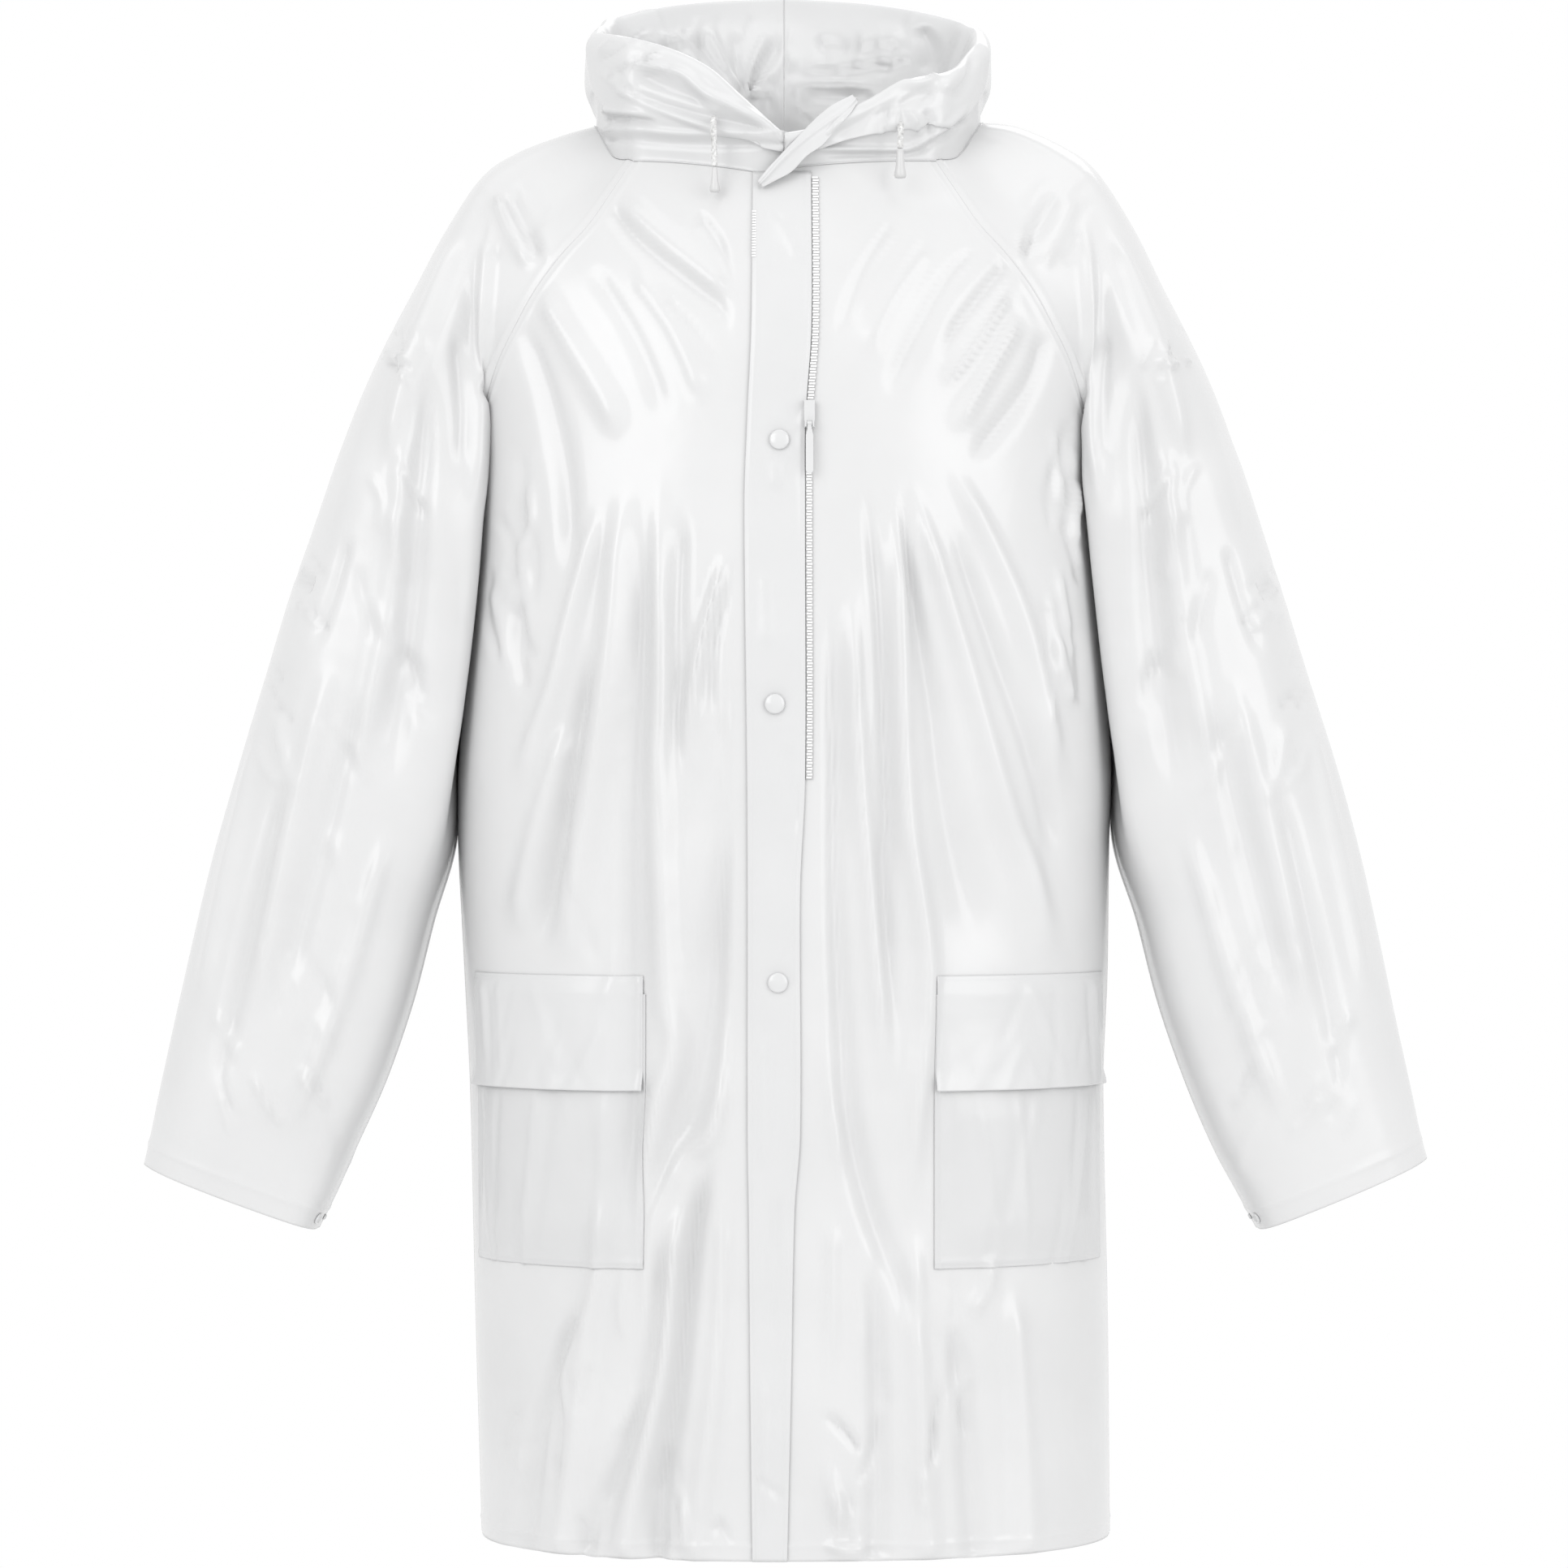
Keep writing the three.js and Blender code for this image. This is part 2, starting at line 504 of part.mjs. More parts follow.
function sleeveGrid(side) {
  const grid = [];
  const rowTotal = SHOULDER.length + ARM.length;
  for (let j = 0; j < rowTotal; j++) {
    const closed = j >= SHOULDER.length;
    const controls = closed ? armRing(side, ARM[j - SHOULDER.length]) : shoulderSection(side, j);
    const curve = new THREE.CatmullRomCurve3(controls, closed, "catmullrom", 0.5);
    const middle = controls.reduce((sum, p) => sum.add(p), new THREE.Vector3()).divideScalar(controls.length);
    const row = [];
    for (let i = 0; i <= SLEEVE_COLUMNS; i++) {
      const round = i / SLEEVE_COLUMNS;
      const point = curve.getPoint(round === 1 && closed ? 0 : round);
      const down = j / (rowTotal - 1);
      let rise = 0;
      for (const fold of SLEEVE_FOLDS) {
        const t = (down - fold.from) / (fold.to - fold.from);
        if (t < 0 || t > 1) continue;
        const line = fold.round0 + (fold.round1 - fold.round0) * t;
        const away = Math.abs(round - line) / fold.width;
        if (away < 1) rise += fold.rise * Math.sin(Math.PI * t) * (0.5 + 0.5 * Math.cos(Math.PI * away));
      }
      const outward = point.clone().sub(middle);
      outward.y *= 1.2;
      row.push(point.addScaledVector(outward.normalize(), rise));
    }
    grid.push(row);
  }
  return grid;
}

const rightSleeve = sleeveGrid(-1);
const leftSleeve = sleeveGrid(1);
addPiece("sleeve_right", wallOf(rightSleeve, { wrapFrom: SHOULDER.length, flip: true }), film);
addPiece("sleeve_left", wallOf(leftSleeve, { wrapFrom: SHOULDER.length }), film);

// Hood: half the neckline is the top edges of a front, a sleeve and half the back
function neckline(side) {
  const front = side < 0 ? rightFront[0] : leftFront[0];
  const sleeve = side < 0 ? rightSleeve[0] : leftSleeve[0];
  const middle = BACK_COLUMNS / 2;
  const back = side < 0 ? backPoints[0].slice(0, middle + 1) : backPoints[0].slice(middle).reverse();
  const line = [...front.filter((p) => p.x * side > 1), ...sleeve, ...back];
  return new THREE.CatmullRomCurve3(line, false, "centripetal");
}

const NECKLINES = { [-1]: neckline(-1), 1: neckline(1) };

function hoodPoint(side, place, rowShare) {
  const base = NECKLINES[side].getPointAt(place);
  const column = (name) => valueAt(HOOD, "place", name, place);
  const out = new THREE.Vector3(base.x, base.y * 1.15, 0).normalize();
  const top = column(side < 0 ? "right" : "left");
  const height = top - base.z;
  const crest = column("crest");
  const at = (distance, z) => new THREE.Vector3(base.x, base.y, z).addScaledVector(out, distance);
  const profile = new THREE.CatmullRomCurve3(
    [
      at(0, base.z + GAP * 2.4),
      at(column("low"), base.z - column("drop")),
      at(column("mid"), base.z + height * 0.42),
      at(crest + 4, base.z + height * 0.86),
      at(crest - 4, top),
      at(crest - 12, base.z + height * 0.82),
      at(-column("inner"), column("innerZ")),
    ],
    false,
    "catmullrom",
    0.5,
  );
  return profile.getPoint(rowShare);
}

function hoodGrid(side) {
  const grid = [];
  for (let j = 0; j <= HOOD_ROWS; j++) {
    const row = [];
    for (let i = 0; i <= HOOD_COLUMNS; i++) {
      const place = i / HOOD_COLUMNS;
      const point = hoodPoint(side, place, 1 - j / HOOD_ROWS);
      if (i === HOOD_COLUMNS) point.x = side * GAP * 1.5;
      row.push(point);
    }
    grid.push(row);
  }
  return grid;
}

addPiece("hood_right", wallOf(hoodGrid(-1), { flip: true }), film);
addPiece("hood_left", wallOf(hoodGrid(1)), film);

// A point on the front at a distance from the middle, moved out by lift
function frontPoint(x, z, lift) {
  const side = x < 0 ? -1 : 1;
  const point = torsoPoint(side, torsoAngle(side, Math.abs(x), z, true), z);
  point.y -= lift;
  return point;
}

// Front flap over the meeting edges, and the zip chain beside its right edge
function flapRows() {
  return FRONT_ROWS.map((z, j) => frontHeight(j, 0));
}

function stripGrid(rows, columns, edges, lift) {
  return rows.map((z) => {
    const [from, to] = edges(z);
    const row = [];
    for (let i = 0; i <= columns; i++) row.push(frontPoint(from + ((to - from) * i) / columns, z, lift));
    return row;
  });
}

const flapEdges = (z) => [valueAt(FLAP, "z", "left", z), valueAt(FLAP, "z", "right", z)];
addPiece("front_flap", wallOf(stripGrid(flapRows(), 4, flapEdges, FLAP_LIFT + WALL)), trim);

const zipRows = [ZIP_TOP_Z, ...FRONT_ROWS.filter((z) => z < ZIP_TOP_Z && z > ZIP_BOTTOM_Z), ZIP_BOTTOM_Z];
const zipEdges = (z) => {
  const start = valueAt(FLAP, "z", "right", z) + GAP;
  return [start, start + ZIP_WIDTH];
};
const zipGrid = stripGrid(zipRows, 1, zipEdges, FLAP_LIFT + ZIP_HEIGHT);
addPiece("zip_chain", wallOf(zipGrid, { wall: ZIP_HEIGHT }), white);

// Pockets are made from the points of the fronts, moved out
function pocketGrid(side, innerX, outerX, topZ, bottomZ) {
  const grid = side < 0 ? rightFront : leftFront;
  const rows = FRONT_ROWS.map((z, j) => [z, j]).filter(([z]) => z <= topZ && z >= bottomZ);
  const middleRow = grid[rows[0][1]];
  const columns = middleRow
    .map((point, i) => [Math.abs(point.x), i])
    .filter(([x, i]) => middleRow[i].x * side > 0 && x >= innerX - 8 && x <= outerX);
  return rows.map(([, j]) => columns.map(([, i]) => grid[j][i].clone()));
}

for (const pocket of POCKETS) {
  const flip = pocket.side < 0;
  const bag = pocketGrid(pocket.side, pocket.innerX, pocket.outerX, BAG_TOP_Z, BAG_BOTTOM_Z);
  const flap = pocketGrid(pocket.side, pocket.innerX, pocket.outerX, FLAP_TOP_Z, FLAP_BOTTOM_Z);
  addPiece("pocket_bag_" + pocket.name, wallOf(bag, { lift: GAP, flip }), film);
  addPiece("pocket_flap_" + pocket.name, wallOf(flap, { lift: 2 * GAP + WALL, flip }), trim);
}

// Round caps: a low dome with a flat back, facing along a direction
function capGeometry(radius, height, sides) {
  const profile = [
    new THREE.Vector2(0, 0),
    new THREE.Vector2(radius, 0),
    new THREE.Vector2(radius, height * 0.45),
    new THREE.Vector2(radius * 0.82, height * 0.85),
    new THREE.Vector2(radius * 0.4, height),
    new THREE.Vector2(0, height),
  ];
  return new THREE.LatheGeometry(profile, sides);
}

function placeCap(name, geometry, point, direction, material) {
  const mesh = addPiece(name, geometry, material);
  mesh.quaternion.setFromUnitVectors(new THREE.Vector3(0, 1, 0), direction.clone().normalize());
  mesh.position.copy(point);
}

for (const snap of SNAPS) {
  const seat = frontPoint(snap.x, snap.z, FLAP_LIFT + WALL + GAP);
  const above = frontPoint(snap.x, snap.z + SNAP_RADIUS, 0);
  const below = frontPoint(snap.x, snap.z - SNAP_RADIUS, 0);
  const facing = new THREE.Vector3(0, below.z - above.z, above.y - below.y);
  placeCap(snap.name, capGeometry(SNAP_RADIUS, SNAP_HEIGHT, 18), seat, facing, metal);
}

// Cuff snaps sit on the band of the cuff, near its inner end
const CUFF_SNAPS = [
  { name: "cuff_snap", round: 0.085, up: 0.3, radius: CUFF_SNAP_RADIUS, height: CUFF_SNAP_HEIGHT },
  { name: "cuff_stud", round: 0.02, up: 0.34, radius: CUFF_STUD_RADIUS, height: CUFF_SNAP_HEIGHT },
];

function sleevePoint(grid, round, up) {
  const column = round * SLEEVE_COLUMNS;
  const i = Math.floor(column);
  const lower = grid[grid.length - 1];
  const upper = grid[grid.length - 2];
  const low = lower[i].clone().lerp(lower[i + 1], column - i);
  const high = upper[i].clone().lerp(upper[i + 1], column - i);
  const along = lower[i + 1].clone().sub(lower[i]);
  const normal = high.clone().sub(low).cross(along).normalize();
  return { point: low.lerp(high, up), normal };
}

for (const [side, label, grid] of [[-1, "right", rightSleeve], [1, "left", leftSleeve]]) {
  for (const snap of CUFF_SNAPS) {
    const { point, normal } = sleevePoint(grid, snap.round, snap.up);
    if (side > 0) normal.negate();
    const seat = point.addScaledVector(normal, GAP + 0.15);
    placeCap(snap.name + "_" + label, capGeometry(snap.radius, snap.height, 14), seat, normal, metal);
  }
}

// The turned-out strip at the top of the closing: the middle line of its back, and half its width
const NECK_STRIP = [
  { x: -16, y: -106.2, z: -44 },
  { x: -3, y: -106, z: -33 },
  { x: 11, y: -104.8, z: -20 },
  { x: 25, y: -101.2, z: -6 },
  { x: 37, y: -97.2, z: 6 },
  { x: 47, y: -92.8, z: 15 },
];
const NECK_STRIP_HALF = 7.5;
const NECK_STRIP_SLANT = THREE.MathUtils.degToRad(42);

function neckStripGrid() {
  const across = new THREE.Vector3(-Math.sin(NECK_STRIP_SLANT), 0, Math.cos(NECK_STRIP_SLANT));
  return NECK_STRIP.map(({ x, y, z }) => {
    const middle = new THREE.Vector3(x, y - WALL, z);
    return [-1, 0, 1].map((step) => middle.clone().addScaledVector(across, step * NECK_STRIP_HALF));
  });
}

addPiece("neck_strip", wallOf(neckStripGrid(), { flip: true }), trim);

// Zip slider with two lugs, and the pull that hangs on a barrel between them
const SLIDER = { x: 16.6, z: -197.6, width: 7, height: 18, thick: 2.4, lift: 0.45 };
const LUG = { inner: 2, width: 0.9, bottom: -9, top: -4.5, reach: 3.2 };
const PIVOT = { y: -4.6, z: -6.6, radius: 1.2, length: 3.2 };
const PULL = { length: 33, topHalf: 1.4, lowHalf: 2.4, widenFrom: 4, thick: 1.2 };

function boxSolid(width, depth, height, x, y, z) {
  return solidOf(new THREE.BoxGeometry(width, depth, height).translate(x, y, z));
}

function sliderGeometry() {
  const middleY = -SLIDER.lift - SLIDER.thick / 2;
  let slider = boxSolid(SLIDER.width, SLIDER.thick, SLIDER.height, 0, middleY, 0);
  const lugY = -SLIDER.lift - SLIDER.thick - LUG.reach / 2 + 0.2;
  for (const sign of [-1, 1]) {
    const lug = boxSolid(
      LUG.width,
      LUG.reach + 0.4,
      LUG.top - LUG.bottom,
      sign * (LUG.inner + LUG.width / 2),
      lugY,
      (LUG.top + LUG.bottom) / 2,
    );
    slider = slider.add(lug);
  }
  return geometryOf(slider);
}

function pullGeometry() {
  const outline = new THREE.Shape();
  outline.moveTo(-PULL.topHalf, 0);
  outline.lineTo(-PULL.topHalf, -PULL.widenFrom);
  outline.lineTo(-PULL.lowHalf, -PULL.widenFrom - 4);
  outline.lineTo(-PULL.lowHalf, -PULL.length + PULL.lowHalf);
  outline.absarc(0, -PULL.length + PULL.lowHalf, PULL.lowHalf, Math.PI, 2 * Math.PI, false);
  outline.lineTo(PULL.lowHalf, -PULL.widenFrom - 4);
  outline.lineTo(PULL.topHalf, -PULL.widenFrom);
  outline.lineTo(PULL.topHalf, 0);
  const extrusion = { depth: PULL.thick, bevelEnabled: false, curveSegments: 6 };
  const plate = new THREE.ExtrudeGeometry(outline, extrusion);
  plate.rotateX(Math.PI / 2);
  plate.translate(0, PULL.thick / 2, 0);
  const barrel = new THREE.CylinderGeometry(PIVOT.radius, PIVOT.radius, PIVOT.length, 16);
  barrel.rotateZ(Math.PI / 2);
  return geometryOf(solidOf(plate).add(solidOf(barrel)));
}

const zipSeat = frontPoint(SLIDER.x, SLIDER.z, FLAP_LIFT + ZIP_HEIGHT);
const zipAbove = frontPoint(SLIDER.x, SLIDER.z + SLIDER.height / 2, 0);
const zipBelow = frontPoint(SLIDER.x, SLIDER.z - SLIDER.height / 2, 0);
const zip = new THREE.Group();
zip.position.copy(zipSeat);
zip.rotation.x = Math.atan2(zipBelow.y - zipAbove.y, SLIDER.height);
coat.add(zip);
const slider = new THREE.Mesh(sliderGeometry(), metal);
slider.name = "zip_slider";
zip.add(slider);
const pull = new THREE.Mesh(pullGeometry(), metal);
pull.name = "zip_pull";
pull.position.set(0, PIVOT.y, PIVOT.z);
zip.add(pull);

// Cords: hand-chosen routes from the slit in the hood to the end piece
const CORD_RIGHT_ROUTE = [
  [-46.4, -99.8, 0], [-46.4, -101, 0], [-46.4, -102.6, -0.1], [-46.4, -104.1, -0.5], [-46.4, -105.6, -1.3],
  [-46.4, -107, -2.3], [-46.4, -108.4, -3.8], [-46.4, -109.2, -5.3], [-46.3, -109.9, -7.4],
  [-46.3, -110, -9], [-46.2, -110, -12], [-46.1, -110, -15], [-46, -109.9, -18], [-45.9, -109.8, -21],
  [-45.8, -109.7, -24], [-45.7, -109.6, -27], [-45.6, -109.5, -30], [-45.5, -109.4, -32],
];
const CORD_LEFT_ROUTE = [
  [76.8, -91.4, -6.8], [76.8, -92.6, -5.6], [76.8, -94.4, -4.2], [76.8, -96.4, -3.4], [76.8, -98.6, -3.1],
  [76.8, -100.8, -3.4], [76.8, -102.8, -4.2], [76.7, -104.6, -5.6], [76.7, -106, -7.4],
  [76.6, -106.8, -9.4], [76.6, -107.1, -11.6], [76.5, -107.1, -13.6], [76.5, -107.1, -15.6],
  [76.4, -107.1, -17.8], [76.4, -107.1, -20],
];
const CORD_ENDS = {
  right: { length: 17, top: 1.7, low: 3.4 },
  left: { length: 19.5, top: 2.2, low: 4 },
};

function cordGeometry(route) {
  const section = new THREE.Shape();
  for (let i = 0; i < CORD_SIDES; i++) {
    const turn = (i * 2 * Math.PI) / CORD_SIDES;
    const [x, y] = [CORD_RADIUS * Math.cos(turn), CORD_RADIUS * Math.sin(turn)];
    if (i === 0) section.moveTo(x, y);
    else section.lineTo(x, y);
  }
  const path = new THREE.CatmullRomCurve3(route.map((p) => new THREE.Vector3(...p)));
  return new THREE.ExtrudeGeometry(section, { steps: CORD_STEPS, extrudePath: path, bevelEnabled: false });
}

function cordEndGeometry({ length, top, low }) {
  const profile = [
    new THREE.Vector2(0, -length),
    new THREE.Vector2(low * 0.6, -length),
    new THREE.Vector2(low, -length + 1.5),
    new THREE.Vector2(low * 0.94, -length + 4),
    new THREE.Vector2(top, -1),
    new THREE.Vector2(top * 0.8, 0),
    new THREE.Vector2(0, 0),
  ];
  return new THREE.LatheGeometry(profile, CORD_END_SIDES).rotateX(Math.PI / 2);
}

for (const [label, route] of [["right", CORD_RIGHT_ROUTE], ["left", CORD_LEFT_ROUTE]]) {
  addPiece("cord_" + label, cordGeometry(route), cordCloth);
  const [x, y, z] = route[route.length - 1];
  const end = addPiece("cord_end_" + label, cordEndGeometry(CORD_ENDS[label]), white);
  end.position.set(x, y, z - GAP);
}

export default coat;
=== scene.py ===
"""A hooded raincoat of milky film, filled out as if it were worn.

Tables are in millimetres in the row frame: x to the wearer's left, z up, the front towards -y.
"""

import math

import bpy
import numpy as np
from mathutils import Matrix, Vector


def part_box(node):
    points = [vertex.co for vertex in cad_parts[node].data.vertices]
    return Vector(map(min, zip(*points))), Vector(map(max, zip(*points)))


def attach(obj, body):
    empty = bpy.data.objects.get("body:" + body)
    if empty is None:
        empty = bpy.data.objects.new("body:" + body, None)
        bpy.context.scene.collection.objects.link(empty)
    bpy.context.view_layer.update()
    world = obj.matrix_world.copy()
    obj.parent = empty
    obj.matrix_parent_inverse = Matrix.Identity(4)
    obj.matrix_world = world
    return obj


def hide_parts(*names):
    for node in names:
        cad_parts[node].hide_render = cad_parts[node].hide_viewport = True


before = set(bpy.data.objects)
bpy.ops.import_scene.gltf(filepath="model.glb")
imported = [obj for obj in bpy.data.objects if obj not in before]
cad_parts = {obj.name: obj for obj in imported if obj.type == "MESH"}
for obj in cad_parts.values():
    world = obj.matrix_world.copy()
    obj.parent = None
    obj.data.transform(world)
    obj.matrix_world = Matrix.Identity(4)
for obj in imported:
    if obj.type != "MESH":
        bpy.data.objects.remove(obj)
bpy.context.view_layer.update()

MM = 0.001
SHELL = 0.6  # thickness of the film as it is shown
STEP = 4.0  # spacing of the points of the large sheets
HEM_Z = -943.0
GAP = 0.4  # between pieces that meet
WALL = 1.2  # thickness of the solids' walls
CRISP = 0.45  # how pointed the creases' crests are
FOLD_SIZE = 1.3  # scale of the height of all creases
CENTRE_X = -14.0  # where the two fronts meet
SEAM_WELD = 5.5  # distance of a seam's weld line from the edge
HEM_WELD = 10.0
UNDERARM_Z = -262  # above it the panels' side edges are seams with the sleeves
CAMERA_PLACE = (0, -3.6, -0.438)
CAMERA_LENS = 122
FLOOR_Z = -1.45
FLOOR_RADIUS = 2.2


def linked(name, data, place=(0, 0, 0)):
    obj = bpy.data.objects.new(name, data)
    obj.location = place
    bpy.context.scene.collection.objects.link(obj)
    return obj


# Camera, level, in front of the coat
camera_data = bpy.data.cameras.new("camera")
camera_data.lens = CAMERA_LENS
camera_data.sensor_width = 36
camera = linked("camera", camera_data, CAMERA_PLACE)
camera.rotation_euler = (math.radians(90), 0, 0)
bpy.context.scene.camera = camera


# Materials
def procedural(name, shades, rough, bumps, coat=0.0, spot=14.0):
    """A material whose colour drifts between shades, with bumps of (scale, strength, distance, detail)."""
    material = bpy.data.materials.new(name)
    material.use_nodes = True
    nodes = material.node_tree.nodes
    links = material.node_tree.links
    shader = nodes["Principled BSDF"]
    shader.inputs["Coat Weight"].default_value = coat
    shader.inputs["Coat Roughness"].default_value = 0.15
    shader.inputs["Specular IOR Level"].default_value = 0.5
    place = nodes.new("ShaderNodeTexCoord")
    drift = nodes.new("ShaderNodeTexNoise")
    drift.inputs["Scale"].default_value = spot
    drift.inputs["Detail"].default_value = 3
    links.new(place.outputs["Object"], drift.inputs["Vector"])
    ramp = nodes.new("ShaderNodeValToRGB")
    ramp.color_ramp.elements[0].position = 0.3
    ramp.color_ramp.elements[0].color = (*shades[0], 1)
    ramp.color_ramp.elements[1].position = 0.7
    ramp.color_ramp.elements[1].color = (*shades[1], 1)
    links.new(drift.outputs["Fac"], ramp.inputs["Fac"])
    links.new(ramp.outputs["Color"], shader.inputs["Base Color"])
    gloss = nodes.new("ShaderNodeMapRange")
    gloss.inputs["To Min"].default_value = rough * 0.85
    gloss.inputs["To Max"].default_value = rough * 1.2
    links.new(drift.outputs["Fac"], gloss.inputs["Value"])
    links.new(gloss.outputs["Result"], shader.inputs["Roughness"])
    before = None
    for scale, strength, distance, detail in bumps:
        noise = nodes.new("ShaderNodeTexNoise")
        noise.inputs["Scale"].default_value = scale
        noise.inputs["Detail"].default_value = detail
        noise.inputs["Distortion"].default_value = 0.4
        links.new(place.outputs["Object"], noise.inputs["Vector"])
        bump = nodes.new("ShaderNodeBump")
        bump.inputs["Strength"].default_value = strength
        bump.inputs["Distance"].default_value = distance
        links.new(noise.outputs["Fac"], bump.inputs["Height"])
        if before is not None:
            links.new(before.outputs["Normal"], bump.inputs["Normal"])
        before = bump
    if before is not None:
        links.new(before.outputs["Normal"], shader.inputs["Normal"])
    return material


def greys(dark, light):
    return [(dark,) * 3, (light,) * 3]


FILM_BUMPS = [(9, 0.3, 0.006, 3), (60, 0.08, 0.0012, 3)]
film = procedural("film", [(0.615, 0.616, 0.618), (0.64, 0.641, 0.643)], 0.22, FILM_BUMPS)
double_film = procedural(
    "double_film", [(0.60, 0.602, 0.605), (0.62, 0.622, 0.625)], 0.24, FILM_BUMPS
)
pocket_film = procedural(
    "pocket_film", [(0.575, 0.577, 0.58), (0.595, 0.597, 0.6)], 0.24, FILM_BUMPS
)
hood_film = procedural("hood_film", [(0.60, 0.602, 0.605), (0.625, 0.627, 0.63)], 0.22, FILM_BUMPS)
zip_plastic = procedural("zip_plastic", greys(0.80, 0.86), 0.42, [(700, 0.2, 0.0003, 3)])
tape_cloth = procedural("tape_cloth", greys(0.52, 0.58), 0.7, [(1500, 0.4, 0.0003, 2)])
metal = procedural(
    "metal", [(0.59, 0.593, 0.596), (0.63, 0.633, 0.636)], 0.16, [(260, 0.1, 0.0004, 3)], coat=0.5
)
cord_cloth = procedural(
    "cord_cloth", [(0.40, 0.40, 0.395), (0.78, 0.78, 0.775)], 0.7, [(1800, 0.5, 0.0004, 3)], spot=500
)
end_plastic = procedural("end_plastic", greys(0.54, 0.6), 0.3, [(300, 0.12, 0.0005, 3)], coat=0.3)


# Meshes
def make(name, points, faces, material, soft=True):
    """A mesh on the coat's body, from points in millimetres; soft shades it smoothly."""
    mesh = bpy.data.meshes.new(name)
    mesh.from_pydata((np.asarray(points, float) * MM).tolist(), [], faces)
    mesh.materials.append(material)
    mesh.polygons.foreach_set("use_smooth", [soft] * len(mesh.polygons))
    mesh.update()
    obj = linked(name, mesh)
    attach(obj, "coat")
    return obj


def finished(obj, node):
    """The object in place of its solid, which is hidden."""
    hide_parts(node)
    return obj


def ring_faces(rings, sides):
    """Faces of a stack of rings of points, closed at both ends."""
    faces = []
    for j in range(rings - 1):
        for k in range(sides):
            a, b = j * sides + k, j * sides + (k + 1) % sides
            faces.append([a, b, b + sides, a + sides])
    faces.append(list(range(sides))[::-1])
    faces.append([(rings - 1) * sides + k for k in range(sides)])
    return faces


def normals_of(grid, wrap=False):
    """Unit normals of a grid of points; the sign is set by facing()."""
    down = np.gradient(grid, axis=0)
    across = np.gradient(grid, axis=1)
    if wrap:
        across[:, 0] = across[:, -1] = (grid[:, 1] - grid[:, -2]) / 2
    normal = np.cross(across, down)
    return normal / np.maximum(np.linalg.norm(normal, axis=2, keepdims=True), 1e-9)


def facing(normal, outwards):
    """Turns all the normals so that on average they point outwards."""
    return normal * (1 if (normal * outwards).sum() > 0 else -1)


def forwards(grid):
    """The direction out of the coat's front, at each point of a grid."""
    return np.broadcast_to([0.0, -1.0, 0.0], grid.shape)


def shell(name, grid, outwards, material, thick=SHELL, wrap_from=None):
    """A closed thin shell under a grid of outer points. From the row wrap_from on, the ends join."""
    normal = facing(normals_of(grid), outwards)
    if wrap_from is not None:
        tube = facing(normals_of(grid, True), outwards)
        normal[wrap_from:] = tube[wrap_from:]
    inner = grid - normal * thick
    rows, columns = grid.shape[:2]
    ids = np.arange(rows * columns).reshape(rows, columns)
    if wrap_from is not None:
        ids[wrap_from:, -1] = ids[wrap_from:, 0]
    a, b, c, d = ids[:-1, :-1], ids[:-1, 1:], ids[1:, 1:], ids[1:, :-1]
    quads = np.stack([a, b, c, d], axis=-1).reshape(-1, 4)
    first = np.cross(grid[0, 1] - grid[0, 0], grid[1, 0] - grid[0, 0])
    if first @ normal[0, 0] > 0:
        quads = quads[:, ::-1]
    count = rows * columns
    faces = [*quads.tolist(), *(quads[:, ::-1] + count).tolist()]
    sides = {}
    for quad in quads.tolist():
        for p, q in zip(quad, quad[1:] + quad[:1]):
            if (q, p) in sides:
                del sides[(q, p)]
            else:
                sides[(p, q)] = True
    faces += [[q, p, p + count, q + count] for p, q in sides]
    return make(name, np.concatenate([grid.reshape(-1, 3), inner.reshape(-1, 3)]), faces, material)


WELD_POINTS = (1.2, 2.6, 4.0, 5.4, 7.0, 9.0, 10.5, 12.0)


def spaced(length, step, edge=WELD_POINTS, ends=(True, True)):
    """Shares of a length, close together near its ends, for the weld lines."""
    places = list(np.linspace(0, length, max(int(length / step), 2) + 1))
    if ends[0]:
        places = [p for p in places if p == 0 or p > edge[-1] + 0.3 * step] + list(edge)
    if ends[1]:
        places = [p for p in places if p > length - 1e-6 or p < length - edge[-1] - 0.3 * step]
        places += [length - e for e in edge]
    return np.unique(np.clip(np.array(places) / length, 0, 1))


def hermite(xs, ys, at):
    """A smooth value through the points (xs, ys), flat outside them."""
    xs, ys = np.asarray(xs, float), np.asarray(ys, float)
    if xs[0] > xs[-1]:
        xs, ys = xs[::-1], ys[::-1]
    at = np.clip(at, xs[0], xs[-1])
    i = np.clip(np.searchsorted(xs, at, side="right") - 1, 0, len(xs) - 2)
    before = np.maximum(np.arange(len(xs)) - 1, 0)
    after = np.minimum(np.arange(len(xs)) + 1, len(xs) - 1)
    slope = (ys[after] - ys[before]) / (xs[after] - xs[before])
    span = xs[i + 1] - xs[i]
    t = (at - xs[i]) / span
    t2, t3 = t * t, t * t * t
    return (
        (2 * t3 - 3 * t2 + 1) * ys[i]
        + (t3 - 2 * t2 + t) * span * slope[i]
        + (3 * t2 - 2 * t3) * ys[i + 1]
        + (t3 - t2) * span * slope[i + 1]
    )


def smooth(low, high, value):
    t = np.clip((value - low) / (high - low), 0, 1)
    return t * t * (3 - 2 * t)


def run_lengths(line):
    """Distance of each point of a line from its first one, along the line."""
    return np.concatenate([[0], np.cumsum(np.linalg.norm(np.diff(line, axis=0), axis=1))])


